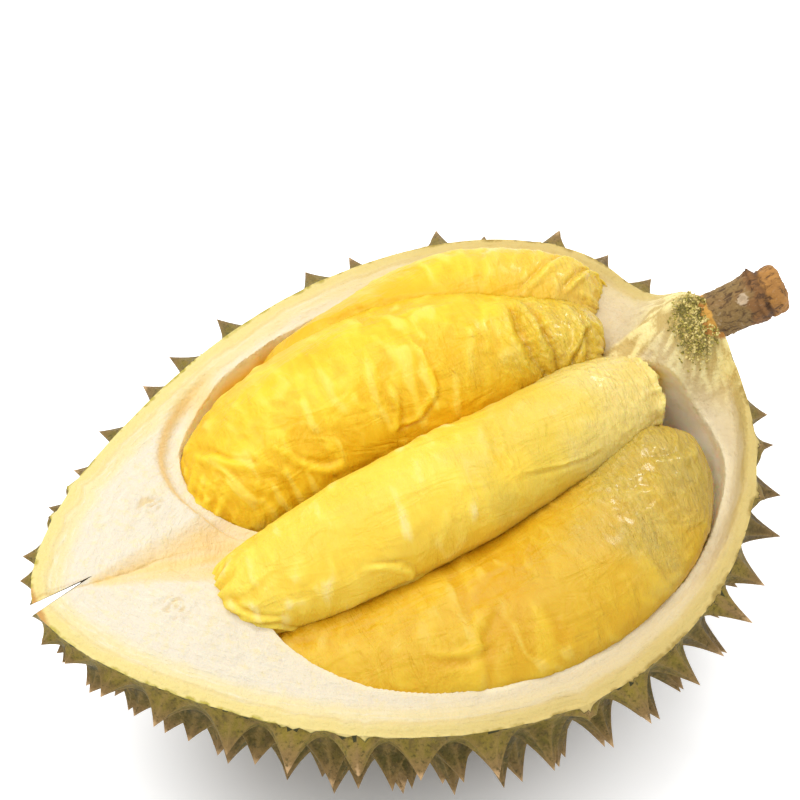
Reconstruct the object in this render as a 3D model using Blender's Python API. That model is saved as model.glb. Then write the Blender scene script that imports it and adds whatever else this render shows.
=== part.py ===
"""Durian, opened to show its flesh: a boat-shaped piece of spiny husk, four flesh pods and the stem.

Metres, +Z up. X runs along the fruit from the blossom tip (-X) to the stem (+X).
The shapes are worked out about the fruit's own axis, and FRUIT_AXIS then places that axis
in the part's frame, whose origin lies on the table under the middle of the whole piece.
"""
import math
import random

import bmesh
import bpy
from mathutils import Vector

# ---------------------------------------------------------------- driving dimensions
# Husk, measured to the valleys between its spines.
TIP_LENGTH = 0.168          # fruit's widest section to the blossom tip
SHOULDER_LENGTH = 0.117     # widest section to the shoulder round the stem
GIRTH_RADIUS = 0.1135       # half the fruit's thickness
TIP_TAPER = 0.32            # how much the tip end narrows
TIP_POINT = 0.004           # how far the tip is drawn out to a point
SHOULDER_TAPER = 0.11       # how much the stem end narrows, close to the stem
SHOULDER_LEAN = 0.11        # and how much more on the back than on the front
LOBE_SWELL = 0.018          # five shallow lobes, as a share of the radius
LOBE_SEAM = math.radians(-84)  # the seam between two lobes, from +Y towards +Z

# Spines: one on each vertex of a finely divided icosahedron.
SPINE_DIVISIONS = 4
SPINE_LENGTH = 0.0165
SPINE_LENGTH_SPREAD = 0.16
SPINE_PLACE_SPREAD = 0.18   # as a share of the spacing
SPINE_SHORTENS_AT_TIP = 0.72
SPINE_SHORTENS_AT_SHOULDER = 0.25
SPINE_FLARE = 0.2           # height of the spine halfway in from its foot
SPINE_STEM_FADE = (0.985, 0.955)  # along the axis towards the stem, from none to whole
SPINE_RIM_FADE = (0.000, 0.005)  # spines this far under the cut face go from none to whole
SPINE_POLE = Vector((0.3, 1.0, 0.2))  # turned onto the fruit's axis, so that no row of spines shows
SPINE_SEED = 17

# The face where the husk was cut and torn open, as heights over the fruit's axis.
CUT_DROP = 0.021            # in the middle of the fruit
CUT_SLOPE = 0.10            # rises from the front to the back
CUT_TWIST = 0.55            # the back rim climbs towards the stem
CUT_HEAPS = (               # middle x and y, reach, and height of what was torn up or away
    (0.104, 0.010, 0.018, 0.0225),
    (0.113, 0.046, 0.018, -0.010),
    (-0.120, 0.032, 0.026, 0.004),
    (-0.120, -0.024, 0.024, 0.004),
)
CUT_MARGIN = 0.05           # how far the cutters reach past the fruit
OPENING_GRID = (56, 42)     # cells along and across

# Groove between the two lobes of the tip: it opens and deepens towards the pods.
GROOVE_START = -0.150
GROOVE_POINT = 0.002        # half its width where it starts
GROOVE_MIDDLE = 0.0045
GROOVE_OPENS = 0.30
GROOVE_DEEPENS = 0.22
GROOVE_DEEPEST = 0.011
GROOVE_FADE = (-0.070, -0.095)

# Cleft where the two lobes have parted at the tip.
CLEFT_END = -0.147
CLEFT_GAP = 0.0038          # at the tip
CLEFT_POINT = 0.0002        # where it ends
CLEFT_VEER = 0.0040         # towards the front at the very tip
CLEFT_LEAN = 0.7            # it runs backwards as it goes down

# The two chambers that hold the pods, and the thinnest wall they leave.
WALL = 0.012
WALL_SOFTNESS = 0.007
CHAMBERS = (
    (Vector((-0.0135, 0.042, -0.008)), Vector((0.0915, 0.057, 0.062))),
    (Vector((0.003, -0.027, -0.010)), Vector((0.098, 0.067, 0.074))),
)
CHAMBER_SEGMENTS = 36
CHAMBER_RINGS = 24

# Table: the lowest spines are worn flat where they carry the fruit.
SPINE_WEAR = 0.0040

CLEARANCE = 0.0004          # between neighbouring solids

# Origin: on the table, under the middle of the whole piece.
FRUIT_AXIS = Vector((0.0125, -0.0036, GIRTH_RADIUS + SPINE_LENGTH - SPINE_WEAR))

POD_SEGMENTS = 20
POD_RINGS = 14


# ---------------------------------------------------------------- the fruit's form
def ramp(value, none, whole):
    """0 at none, 1 at whole, straight between them."""
    return max(0.0, min(1.0, (value - none) / (whole - none)))


def lobed(angle):
    """Share by which the five lobes swell the radius at this angle round the fruit's axis."""
    return 1.0 - LOBE_SWELL * 0.5 * (1.0 + math.cos(5.0 * (angle - LOBE_SEAM)))


def skin_radius(along, angle):
    """Radius of the skin at a share of the way to either end, and at an angle from +Y to +Z."""
    across = math.sqrt(max(0.0, 1.0 - along * along))
    if along > 0.0:
        taper = (SHOULDER_TAPER + SHOULDER_LEAN * math.cos(angle)) * along ** 6
    else:
        taper = TIP_TAPER * along * along
    return GIRTH_RADIUS * across * (1.0 - taper) * (1.0 + (lobed(angle) - 1.0) * across)


def skin_point(direction, lift=0.0):
    """Point of the husk in this direction from the fruit's middle, raised off the skin by lift."""
    along = max(-1.0, min(1.0, direction.x))
    across = math.sqrt(max(0.0, 1.0 - along * along))
    angle = math.atan2(direction.z, direction.y)
    half = SHOULDER_LENGTH if along > 0.0 else TIP_LENGTH
    x = half * along - (TIP_POINT * (1.0 - across) ** 3 if along < 0.0 else 0.0)
    radius = skin_radius(along, angle)
    point = Vector((x, radius * math.cos(angle), radius * math.sin(angle)))
    outward = Vector((along / half, across * math.cos(angle) / GIRTH_RADIUS,
                      across * math.sin(angle) / GIRTH_RADIUS)).normalized()
    return point + outward * lift


def held_inside(point, wall):
    """Pulls a point in towards the fruit's axis where it would thin the husk below this wall."""
    half = SHOULDER_LENGTH if point.x > 0.0 else TIP_LENGTH
    along = max(-1.0, min(1.0, point.x / half))
    radius = math.hypot(point.y, point.z)
    limit = skin_radius(along, math.atan2(point.z, point.y)) - wall
    over = (radius - (limit - WALL_SOFTNESS)) / WALL_SOFTNESS
    if over <= 0.0 or radius < 1e-9:
        return point
    pulled = max(0.0, limit - WALL_SOFTNESS * math.exp(-over)) / radius
    return Vector((point.x, point.y * pulled, point.z * pulled))


def cut_height(x, y):
    """Height over the fruit's axis of the face where the husk was opened."""
    end = SHOULDER_LENGTH if x > 0.0 else TIP_LENGTH
    height = CUT_DROP * (min(1.0, (x / end) ** 2) - 1.0)
    height += CUT_SLOPE * y + CUT_TWIST * x * max(0.0, y)
    for heap_x, heap_y, reach, tall in CUT_HEAPS:
        height += tall * math.exp(-((x - heap_x) ** 2 + (y - heap_y) ** 2) / reach ** 2)
    run = max(0.0, x - GROOVE_START)
    offside = (y - GROOVE_MIDDLE) / (GROOVE_OPENS * run + GROOVE_POINT)
    groove = min(GROOVE_DEEPEST, GROOVE_DEEPENS * run) * ramp(x, *GROOVE_FADE)
    return height - groove * max(0.0, 1.0 - offside ** 2)


# ---------------------------------------------------------------- Blender helpers
def clear_scene():
    for old in list(bpy.data.objects):
        bpy.data.objects.remove(old, do_unlink=True)


def collection(name):
    made = bpy.data.collections.new(name)
    bpy.context.scene.collection.children.link(made)
    return made


def finish(name, colour, roughness):
    """A Principled material."""
    made = bpy.data.materials.new(name)
    made.use_nodes = True
    shader = made.node_tree.nodes["Principled BSDF"]
    shader.inputs["Base Color"].default_value = (*colour, 1.0)
    shader.inputs["Roughness"].default_value = roughness
    shader.inputs["Metallic"].default_value = 0.0
    made.diffuse_color = (*colour, 1.0)
    return made


def facing_out(mesh_data):
    if mesh_data.calc_volume(signed=True) < 0.0:
        bmesh.ops.reverse_faces(mesh_data, faces=mesh_data.faces)


def grown(mesh_data, amount):
    """Moves every face out by this amount."""
    facing_out(mesh_data)
    mesh_data.normal_update()
    moves = [vert.normal * amount * vert.calc_shell_factor() for vert in mesh_data.verts]
    for vert, move in zip(mesh_data.verts, moves):
        vert.co += move


def to_object(mesh_data, name, into, material):
    """Turns a bmesh in fruit coordinates into an object placed on the fruit's axis."""
    facing_out(mesh_data)
    mesh = bpy.data.meshes.new(name)
    mesh_data.to_mesh(mesh)
    mesh_data.free()
    mesh.materials.append(material)
    made = bpy.data.objects.new(name, mesh)
    made.location = FRUIT_AXIS
    into.objects.link(made)
    return made


def as_cutter(obj):
    obj.hide_render = True
    obj.display_type = "WIRE"
    return obj


def cut(obj, cutter):
    modifier = obj.modifiers.new("cut_by_" + cutter.name, "BOOLEAN")
    modifier.operation = "DIFFERENCE"
    modifier.solver = "EXACT"
    modifier.material_mode = "TRANSFER"
    modifier.object = cutter


# ---------------------------------------------------------------- husk
def spiny_fruit(into, material):
    """The whole fruit's spiny outside, each spine a pyramid that shares its foot with its neighbours."""
    rng = random.Random(SPINE_SEED)
    body = bmesh.new()
    bmesh.ops.create_icosphere(body, subdivisions=SPINE_DIVISIONS, radius=1.0)
    turn = SPINE_POLE.rotation_difference(Vector((1, 0, 0)))
    bmesh.ops.rotate(body, verts=body.verts, cent=(0, 0, 0), matrix=turn.to_matrix())
    tip_count = len(body.verts)
    spacing = math.sqrt(4.0 * math.pi / tip_count)
    height = []
    for tip in body.verts:
        shift = Vector([rng.uniform(-1.0, 1.0) for _ in range(3)])
        tip.co = (tip.co + shift * spacing * SPINE_PLACE_SPREAD).normalized()
        shortens = SPINE_SHORTENS_AT_TIP if tip.co.x < 0.0 else SPINE_SHORTENS_AT_SHOULDER
        length = SPINE_LENGTH * (1.0 - shortens * tip.co.x ** 4)
        foot = skin_point(tip.co)
        under_cut = cut_height(foot.x, foot.y) - foot.z
        length *= ramp(under_cut, *SPINE_RIM_FADE) * ramp(tip.co.x, *SPINE_STEM_FADE)
        height.append(length * (1.0 + SPINE_LENGTH_SPREAD * rng.uniform(-1.0, 1.0)))
    between_tips = list(body.edges)
    bmesh.ops.poke(body, faces=body.faces)
    bmesh.ops.rotate_edges(body, edges=between_tips, use_ccw=False)
    body.verts.ensure_lookup_table()
    foot_count = len(body.verts)
    ridges = {edge for tip in body.verts[:tip_count] for edge in tip.link_edges}
    bmesh.ops.subdivide_edges(body, edges=list(ridges), cuts=1)
    body.verts.ensure_lookup_table()
    body.verts.index_update()
    lift = [0.0] * len(body.verts)
    lift[:tip_count] = height
    for halfway in body.verts[foot_count:]:
        spine = min(edge.other_vert(halfway).index for edge in halfway.link_edges)
        lift[halfway.index] = height[spine] * SPINE_FLARE
    for vert in body.verts:
        vert.co = skin_point(vert.co.normalized(), lift[vert.index])
    return to_object(body, "husk", into, material)


def opening_cutter(into, material):
    """Everything that was lifted off the opened fruit: a block whose underside is the cut face."""
    block = bmesh.new()
    bmesh.ops.create_grid(block, x_segments=OPENING_GRID[0], y_segments=OPENING_GRID[1],
                          size=1.0)
    half_length = max(TIP_LENGTH, SHOULDER_LENGTH) + CUT_MARGIN
    half_width = GIRTH_RADIUS + CUT_MARGIN
    for vert in block.verts:
        x, y = vert.co.x * half_length, vert.co.y * half_width
        vert.co = (x, y, cut_height(x, y))
    raised = bmesh.ops.extrude_face_region(block, geom=block.faces[:])["geom"]
    for part in raised:
        if isinstance(part, bmesh.types.BMVert):
            part.co.z = 2.0 * GIRTH_RADIUS
    bmesh.ops.recalc_face_normals(block, faces=block.faces)
    return as_cutter(to_object(block, "opening", into, material))


def hollow_cutter(name, centre, half, into, material):
    """The room of one chamber: an ellipsoid held inside the husk's wall."""
    hollow = bmesh.new()
    bmesh.ops.create_uvsphere(hollow, u_segments=CHAMBER_SEGMENTS, v_segments=CHAMBER_RINGS,
                              radius=1.0)
    for vert in hollow.verts:
        place = centre + Vector(c * h for c, h in zip(vert.co, half))
        vert.co = held_inside(place, WALL)
    return as_cutter(to_object(hollow, name, into, material))


def cleft_cutter(into, material):
    """A thin leaning wedge that opens towards the tip."""
    wedge = bmesh.new()
    bmesh.ops.create_cube(wedge, size=1.0)
    past_tip = -TIP_LENGTH - CUT_MARGIN
    widens = (past_tip - CLEFT_END) / (-TIP_LENGTH - CLEFT_END)
    for vert in wedge.verts:
        outer = vert.co.x < 0.0
        z = math.copysign(0.5 * TIP_LENGTH, vert.co.z)
        middle = GROOVE_MIDDLE - CLEFT_LEAN * z - (CLEFT_VEER * widens if outer else 0.0)
        gap = CLEFT_GAP * widens if outer else CLEFT_POINT
        vert.co = (past_tip if outer else CLEFT_END, middle + math.copysign(0.5 * gap, vert.co.y),
                   z)
    return as_cutter(to_object(wedge, "cleft", into, material))


def table_cutter(into, material):
    """The slab that wears the lowest spines flat."""
    slab = bmesh.new()
    bmesh.ops.create_cube(slab, size=1.0)
    top = -FRUIT_AXIS.z
    for vert in slab.verts:
        vert.co.z = top if vert.co.z > 0.0 else top - CUT_MARGIN
    return as_cutter(to_object(slab, "table", into, material))


# ---------------------------------------------------------------- pods
class Pod:
    """A flesh pod: a soft sausage along a curve, with its own width, thickness and bluntness."""

    def __init__(self, name, path, width, thickness, blunt, swell=()):
        self.name = name
        self.path = [Vector(p) for p in path]
        self.width, self.thickness, self.blunt = width, thickness, blunt
        self.swell = swell

    def centre(self, t):
        a, b, c, d = self.path
        s = 1.0 - t
        return a * s ** 3 + b * (3 * s * s * t) + c * (3 * s * t * t) + d * t ** 3

    def heading(self, t):
        a, b, c, d = self.path
        s = 1.0 - t
        return ((b - a) * s * s + (c - b) * (2 * s * t) + (d - c) * t * t).normalized()

    def point(self, direction):
        """Point of the pod in this direction of a unit sphere whose poles are the pod's ends."""
        along = max(-1.0, min(1.0, direction.z))
        t = 0.5 + 0.5 * along
        across = math.sqrt(max(0.0, 1.0 - along * along))
        fullness = across ** self.blunt
        for place, reach, amount in self.swell:
            fullness *= 1.0 + amount * math.exp(-((t - place) / reach) ** 2)
        ahead = self.heading(t)
        side = Vector((0, 0, 1)).cross(ahead).normalized()
        above = ahead.cross(side)
        around = Vector((direction.x, direction.y))
        around = around.normalized() if around.length > 1e-9 else around
        reach_side = 0.5 * self.width * fullness * around.x
        reach_up = 0.5 * self.thickness * fullness * around.y
        return held_inside(self.centre(t) + side * reach_side + above * reach_up, WALL)

    def solid(self, into, material, grow=0.0):
        body = bmesh.new()
        bmesh.ops.create_uvsphere(body, u_segments=POD_SEGMENTS, v_segments=POD_RINGS,
                                  radius=1.0)
        for vert in body.verts:
            vert.co = self.point(vert.co.normalized())
        if grow == 0.0:
            return to_object(body, self.name, into, material)
        grown(body, grow)
        return as_cutter(to_object(body, "room_for_" + self.name, into, material))


PODS = {pod.name: pod for pod in (
    Pod("pod_back", [(-0.062, 0.052, -0.034), (0.000, 0.088, -0.016),
                     (0.058, 0.077, -0.010), (0.089, 0.047, -0.012)],
        width=0.050, thickness=0.056, blunt=0.6),
    Pod("pod_left", [(-0.095, 0.030, -0.036), (-0.050, 0.062, -0.024),
                     (0.036, 0.051, -0.006), (0.077, 0.024, -0.010)],
        width=0.068, thickness=0.070, blunt=0.58,
        swell=[(0.2, 0.2, 0.08), (0.85, 0.16, -0.2)]),
    Pod("pod_centre", [(-0.105, -0.014, -0.024), (-0.050, -0.022, -0.004),
                       (0.040, -0.004, -0.010), (0.088, 0.001, -0.012)],
        width=0.052, thickness=0.049, blunt=0.5, swell=[(0.62, 0.08, -0.06)]),
    Pod("pod_front", [(-0.104, -0.026, -0.040), (-0.036, -0.066, -0.060),
                      (0.050, -0.073, -0.042), (0.078, -0.014, -0.016)],
        width=0.082, thickness=0.068, blunt=0.6, swell=[(0.9, 0.15, -0.08)]),
)}
# Each pod is pressed in by the ones that lie on it.
LIES_UNDER = {"pod_left": ["pod_centre"], "pod_front": ["pod_centre"],
              "pod_back": ["pod_left"], "pod_centre": []}

# Stem: a woody stub that swells towards its broken end.
STEM_LINE = [(0.101, 0.0113, 0.0040), (0.1135, 0.0087, 0.0084),
             (0.129, 0.0054, 0.0142), (0.1450, 0.0020, 0.0201)]
STEM_RADII = [0.0094, 0.0094, 0.0098, 0.0102]
STEM_ORDER = 3              # of the curve through those points
STEM_STEPS = 4              # along each span of it
STEM_QUARTER_FACETS = 3     # besides one, in a quarter of its girth


def stem_solid(into, material, grow=0.0):
    """The woody stub along its curve, or the room that it needs in the husk."""
    line = bpy.data.curves.new("stem_line", "CURVE")
    line.dimensions = "3D"
    line.bevel_depth = 1.0
    line.bevel_resolution = STEM_QUARTER_FACETS
    line.resolution_u = STEM_STEPS
    line.use_fill_caps = True
    spline = line.splines.new("NURBS")
    spline.points.add(len(STEM_LINE) - 1)
    spline.use_endpoint_u = True
    spline.order_u = STEM_ORDER
    for point, place, radius in zip(spline.points, STEM_LINE, STEM_RADII):
        point.co = (*place, 1.0)
        point.radius = radius
    guide = bpy.data.objects.new("stem_guide", line)
    bpy.context.scene.collection.objects.link(guide)
    bpy.context.view_layer.update()
    graph = bpy.context.evaluated_depsgraph_get()
    mesh = bpy.data.meshes.new_from_object(guide.evaluated_get(graph))
    body = bmesh.new()
    body.from_mesh(mesh)
    bmesh.ops.remove_doubles(body, verts=body.verts, dist=1e-6)
    bmesh.ops.recalc_face_normals(body, faces=body.faces)
    bpy.data.objects.remove(guide)
    if grow == 0.0:
        return to_object(body, "stem", into, material)
    grown(body, grow)
    return as_cutter(to_object(body, "room_for_stem", into, material))


def main():
    clear_scene()
    fruit, cutters = collection("durian"), collection("cutters")
    cutters.hide_render = True
    skin = finish("husk_skin", (0.30, 0.30, 0.07), 0.75)
    pith = finish("husk_pith", (0.92, 0.82, 0.52), 0.7)
    flesh = finish("pod_flesh", (0.93, 0.62, 0.06), 0.45)
    husk = spiny_fruit(fruit, skin)
    husk.data.materials.append(pith)
    bark = finish("stem_bark", (0.28, 0.17, 0.08), 0.85)
    pods = {name: pod.solid(fruit, flesh) for name, pod in PODS.items()}
    rooms = {name: pod.solid(cutters, pith, CLEARANCE) for name, pod in PODS.items()}
    stem_solid(fruit, bark)
    for name, above in LIES_UNDER.items():
        for upper in above:
            cut(pods[name], rooms[upper])
    cut(husk, opening_cutter(cutters, pith))
    for number, (centre, half) in enumerate(CHAMBERS):
        cut(husk, hollow_cutter("chamber_%d" % number, centre, half, cutters, pith))
    cut(husk, cleft_cutter(cutters, pith))
    cut(husk, table_cutter(cutters, skin))
    cut(husk, stem_solid(cutters, pith, CLEARANCE))
    for room in rooms.values():
        cut(husk, room)


main()
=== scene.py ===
"""Opened durian: the finished look of the husk, its cut pith, the flesh pods and the stem.

Run as a script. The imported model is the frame: every piece but the crumbs stands for one of its
solids and keeps that solid's form. Metres, +Z up. Forms are worked out about the fruit's own axis,
which FRUIT_AXIS places in the frame: x runs from the tip to the stem, and y to the back.
"""

import math
import random
from itertools import product

import bmesh
import bpy
import numpy as np
from bpy.props import FloatProperty, FloatVectorProperty, PointerProperty
from mathutils import Matrix, Vector, bvhtree, kdtree


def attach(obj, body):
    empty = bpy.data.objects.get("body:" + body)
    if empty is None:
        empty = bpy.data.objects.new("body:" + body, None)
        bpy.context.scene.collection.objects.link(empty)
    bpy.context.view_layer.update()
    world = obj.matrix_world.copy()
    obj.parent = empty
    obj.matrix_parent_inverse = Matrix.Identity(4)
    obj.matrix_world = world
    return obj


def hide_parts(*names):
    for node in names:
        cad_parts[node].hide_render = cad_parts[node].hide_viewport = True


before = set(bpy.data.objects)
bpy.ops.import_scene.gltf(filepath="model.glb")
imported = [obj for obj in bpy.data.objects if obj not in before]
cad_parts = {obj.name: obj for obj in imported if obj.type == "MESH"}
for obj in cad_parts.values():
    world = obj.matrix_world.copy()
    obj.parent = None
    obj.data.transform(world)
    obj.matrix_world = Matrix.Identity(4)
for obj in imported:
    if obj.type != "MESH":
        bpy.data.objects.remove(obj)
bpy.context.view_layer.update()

bl_info = {
    "name": "Opened durian",
    "version": (1, 0, 0),
    "blender": (4, 5, 0),
    "location": "View3D > Sidebar > Durian",
    "description": "Spines, pith, flesh and bark for the opened durian",
    "category": "Object",
}

# ---------------------------------------------------------------- driving dimensions
TIP_LENGTH = 0.168          # from the middle of the fruit to its tip
SHOULDER_LENGTH = 0.117     # and to its end by the stem
GIRTH_RADIUS = 0.1135
TIP_TAPER = 0.32            # shares of the radius lost at each end, beyond an ellipsoid's
SHOULDER_TAPER = 0.11
SHOULDER_LEAN = 0.11        # how much that differs between the back and the front
TIP_POINT = 0.004           # how far the tip is drawn out
LOBE_SWELL = 0.018          # depth of the five furrows, as a share of the radius
LOBE_SEAM = math.radians(-84)   # angle of one furrow

SPINE_DIVISIONS = 4         # of the icosphere that has a spine on each vertex
SPINE_LENGTH_SPREAD = 0.16
SPINE_PLACE_SPREAD = 0.18   # as a share of the spacing
SPINE_SHORTENS_AT_TIP = 0.72
SPINE_SHORTENS_AT_SHOULDER = 0.25
SPINE_STEM_FADE = (0.985, 0.955)    # along the axis, where spines end and where they are whole
SPINE_RIM_FADE = (-0.002, 0.002)    # and below the cut
RIM_CLEAR = (-0.0005, 0.0040)   # below the cut, the band where the spines' flanks set in
SPINE_SEED = 17
SPINE_RINGS = (1.0, 0.93, 0.83, 0.70, 0.55, 0.40, 0.26, 0.12, 0.0)  # from the tip to the valley
SPINE_SIDES = 3             # faces between two ridges
SKIN, PITH, LINING = 0, 1, 2        # regions of the husk's surface, in the order of its materials
SAME_PLACE = 1e-6           # vertices this near each other are one

CUT_DROP = 0.021            # how far the cut face sinks in the middle
CUT_SLOPE = 0.10            # how it climbs to the back
CUT_TWIST = 0.55            # and how much more so towards the stem
CUT_HEAPS = (               # its rises and dips: x, y, reach and height
    (0.104, 0.010, 0.018, 0.0225),
    (0.113, 0.046, 0.018, -0.010),
    (-0.120, 0.032, 0.026, 0.004),
    (-0.120, -0.024, 0.024, 0.004),
)
CUT_MARGIN = 0.03           # how far the cutters reach past the fruit
OPENING_STEP = 0.0010       # of the grid on the cut face
RIM_SQUEEZE = 0.7           # turns the long rim into an even run for its fibres
RIM_REACH = 0.11
RIM_CROWN = 1.1             # how much the rim's strip bulges, in reliefs
VEIN_DEPTH = 0.0058         # of the thin line along the rim's strip
SCARS = ((-0.115, 0.031, 0.009), (-0.123, -0.017, 0.008))  # x, y and reach
MOUND_REACH = 0.026
FLUSH_REACH = 0.016         # how far down the skin is yellowish under the rim
LIP_DROP = 0.009
SCOOP_DROP = 0.006          # the back chamber's lip towards the tip is a shallow scoop
SCOOP_SHARE = 0.075         # its width, as a share of the chamber
SCOOP_FADE = (-0.060, -0.092)
SCOOP_EDGE = (1.01, 0.95)   # in half-sizes of the chamber, where it begins and where it is whole
LIP_ALONG = (0.045, 0.085)  # where the front lip by the stem begins to slope, and where it is whole
LIP_ACROSS = (0.002, -0.016)
POCKET = (0.087, 0.037, 0.009)      # a hollow behind the mound: x, y and reach
POCKET_DROP = 0.004
RIDGE = ((0.058, 0.019), (0.106, 0.012))    # a crest of torn pith, from the pods to the stem
RIDGE_WIDTH = 0.0065
RIDGE_HEIGHT = 0.003
CUT_SKIN = 0.0022           # what lies this close to the cut face belongs to it
CRUMBS = (0.1065, 0.004, 0.011)     # where the torn bits lie: x, y and reach
SCRAP_FACES = 100           # a loose part with fewer is a sliver left by a cut

GROOVE_START = -0.150
GROOVE_MIDDLE = 0.0045
GROOVE_NARROWEST = 0.002    # half its width at its start
GROOVE_OPENS = 0.30         # how its half-width and its depth grow along it
GROOVE_DEEPENS = 0.14
GROOVE_DEEPEST = 0.0085
GROOVE_FADE = (-0.070, -0.095)
GROOVE_WARMS = 0.004        # over how long a run its colour sets in
GROOVE_SOFTNESS = 1.5
SEAM_CLIMB = 0.13           # how the crease in the groove leaves its middle
SEAM_FADE = (-0.100, -0.128)
SEAM_LOST = 0.004           # how far off its line the crease counts where it has faded away
SEAM_WIDTH = 0.0012

CLEFT_END = -0.147
CLEFT_GAP = 0.0038          # its width at the tip, and at its end
CLEFT_POINT = 0.0002
CLEFT_VEER = 0.0040         # how far it has turned aside at the tip
CLEFT_LEAN = 0.7            # and how it leans, for each metre of height
CLEFT_SKIN = 0.0003         # what lies this close to the cleft's walls belongs to them
CLEFT_REACH = 0.001         # and no further than this past its end

WALL = 0.012                # least depth of a chamber's wall under the skin
WALL_SOFTNESS = 0.007       # how far before that the chamber starts to be held in
LINING_DEPTH = 0.35 * WALL  # a chamber's lining lies deeper under the skin than this
CHAMBERS = (                # the middle of each and its half-sizes
    ((-0.0135, 0.042, -0.008), (0.0915, 0.057, 0.062)),
    ((0.003, -0.027, -0.010), (0.098, 0.067, 0.074)),
)
TABLE_DROP = 0.126          # fruit's axis above the table
SLAB_THICKNESS = 0.05       # of what wears the lowest spines flat
FRUIT_AXIS = np.array((0.0125, -0.0036, TABLE_DROP))

# From inside the mound, by the stem's foot, to its broken end, with the radius at each point.
STEM_LINE = ((0.101, 0.0113, 0.0040), (0.1135, 0.0087, 0.0084),
             (0.129, 0.0054, 0.0142), (0.1450, 0.0020, 0.0201))
STEM_RADII = (0.0094, 0.0094, 0.0098, 0.0102)


# ---------------------------------------------------------------- settings
def length(name, description, default, low=0.0, high=0.1):
    """A setting in metres."""
    return FloatProperty(name=name, description=description, default=default, min=low, max=high,
                         unit="LENGTH", precision=5)


def share(name, description, default):
    """A setting from 0 to 1."""
    return FloatProperty(name=name, description=description, default=default, min=0.0, max=1.0,
                         subtype="FACTOR")


def colour(name, description, default):
    """A setting that holds a colour, in linear red, green and blue."""
    return FloatVectorProperty(name=name, description=description, default=default, size=3,
                               min=0.0, max=1.0, subtype="COLOR")


class DurianHusk(bpy.types.PropertyGroup):
    """Forms and colours of the skin, the pith, the torn mound and the chambers' walls"""
    spine_length: length("Spine length", "From the valleys to the tips", 0.0165)
    flare: FloatProperty(name="Spine flare", description="How hollow the spines' flanks are",
                         default=2.0, min=1.0, max=4.0)
    ridge: share("Ridge depth", "How far the flanks sink between a spine's ridges", 0.42)
    crumb: length("Crumb size", "Half the size of the torn bits by the stem", 0.0010, 0.0, 0.003)
    relief: length("Pith relief", "Height of the pith's fibres and lumps", 0.0006, 0.0, 0.002)
    green: colour("Skin", "Colour of the spines' flanks", (0.085, 0.072, 0.012))
    olive: colour("Olive", "Colour of the lighter flanks", (0.150, 0.110, 0.024))
    drab: colour("Drab", "Colour of the flanks where the skin has dried", (0.125, 0.080, 0.028))
    # Valley: near black at the spines' feet, a painted shade between the spines; it also darkens random
    # specks and the thin line where the pith meets the skin.
    valley: colour("Valley", "Colour between the spines", (0.045, 0.042, 0.010))
    tan: colour("Ridge", "Colour of the ridges and upper flanks", (0.28, 0.185, 0.055))
    flush: colour("Flush", "Colour of the skin just under the rim", (0.30, 0.22, 0.03))
    tip: colour("Tip", "Colour of the spines' dry upper parts", (0.27, 0.165, 0.065))
    point: colour("Point", "Colour of the spines' worn points", (0.62, 0.40, 0.20))
    edge: colour("Edge", "Colour of the pith against the skin", (0.46, 0.38, 0.06))
    rind: colour("Rind", "Colour of the pith just under the skin", (0.78, 0.64, 0.25))
    cream: colour("Cream", "Colour of the pith along the rim", (0.80, 0.68, 0.36))
    pith: colour("Pith", "Colour of the thick white pith", (0.76, 0.68, 0.53))
    fibre: colour("Fibre", "Colour of the pale fibres", (0.82, 0.76, 0.58))
    mound: colour("Mound", "Colour of the torn mound by the stem", (0.95, 0.82, 0.37))
    # Strand: darker between the mound's raised strands, a painted shade following their relief; also a
    # colour of the torn rind.
    strand: colour("Strand", "Colour between the mound's strands", (0.60, 0.43, 0.13))
    vein: colour("Vein", "Colour of the thin line along the rim", (0.62, 0.42, 0.12))
    # Painted shade: the rim, its outer edge and its inner lip are tinted darker and browner towards the
    # front and the stem, where the light falls off.
    ripe: colour("Shaded rim", "Colour of the rim towards the front and the stem",
                 (0.565, 0.415, 0.135))
    rim_shade_edge: colour("Shaded edge", "Colour of its outer edge", (0.36, 0.25, 0.06))
    rim_shade_lip: colour("Ripe lip", "Colour of its inner lip", (0.66, 0.53, 0.31))
    groove: colour("Groove", "Colour of the groove between the lobes", (0.85, 0.62, 0.27))
    moss: colour("Torn rind", "Colour of the torn rind by the stem", (0.17, 0.14, 0.025))
    scab: colour("Scab", "Colour of the dry ring round the stem and of the lobes' ends",
                 (0.50, 0.22, 0.045))
    lining: colour("Lining", "Colour of the chambers' walls", (0.94, 0.68, 0.12))
    lip: colour("Lip", "Colour of the chambers' rounded lips", (0.84, 0.74, 0.50))
    wall: colour("Pale wall", "Colour of the walls by the lips and at the front",
                 (0.96, 0.90, 0.74))


class DurianFlesh(bpy.types.PropertyGroup):
    """Wrinkles and colours of the four pods"""
    wrinkle: length("Wrinkle height", "Height of the skin's soft wrinkles", 0.0006, 0.0, 0.003)
    # Deep flesh: painted shade in the creases, hollows and under other pods, and the darker flesh of
    # random mottling.
    bright: colour("Flesh", "Colour of the full flesh", (0.93, 0.66, 0.034))
    deep: colour("Deep flesh", "Colour of the creases", (0.80, 0.46, 0.005))
    # Dull flesh: a duller patch past the middle, partly painted shade where the light falls off towards
    # the stem.
    dull_and_shaded: colour("Dull flesh", "Colour of the flesh past the middle", (0.74, 0.52, 0.030))
    # Pale skin: a painted highlight over the raised wrinkles, mixed with random streaks.
    pale: colour("Pale skin", "Colour of the skin drawn thin over the ridges", (0.92, 0.73, 0.15))


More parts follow.
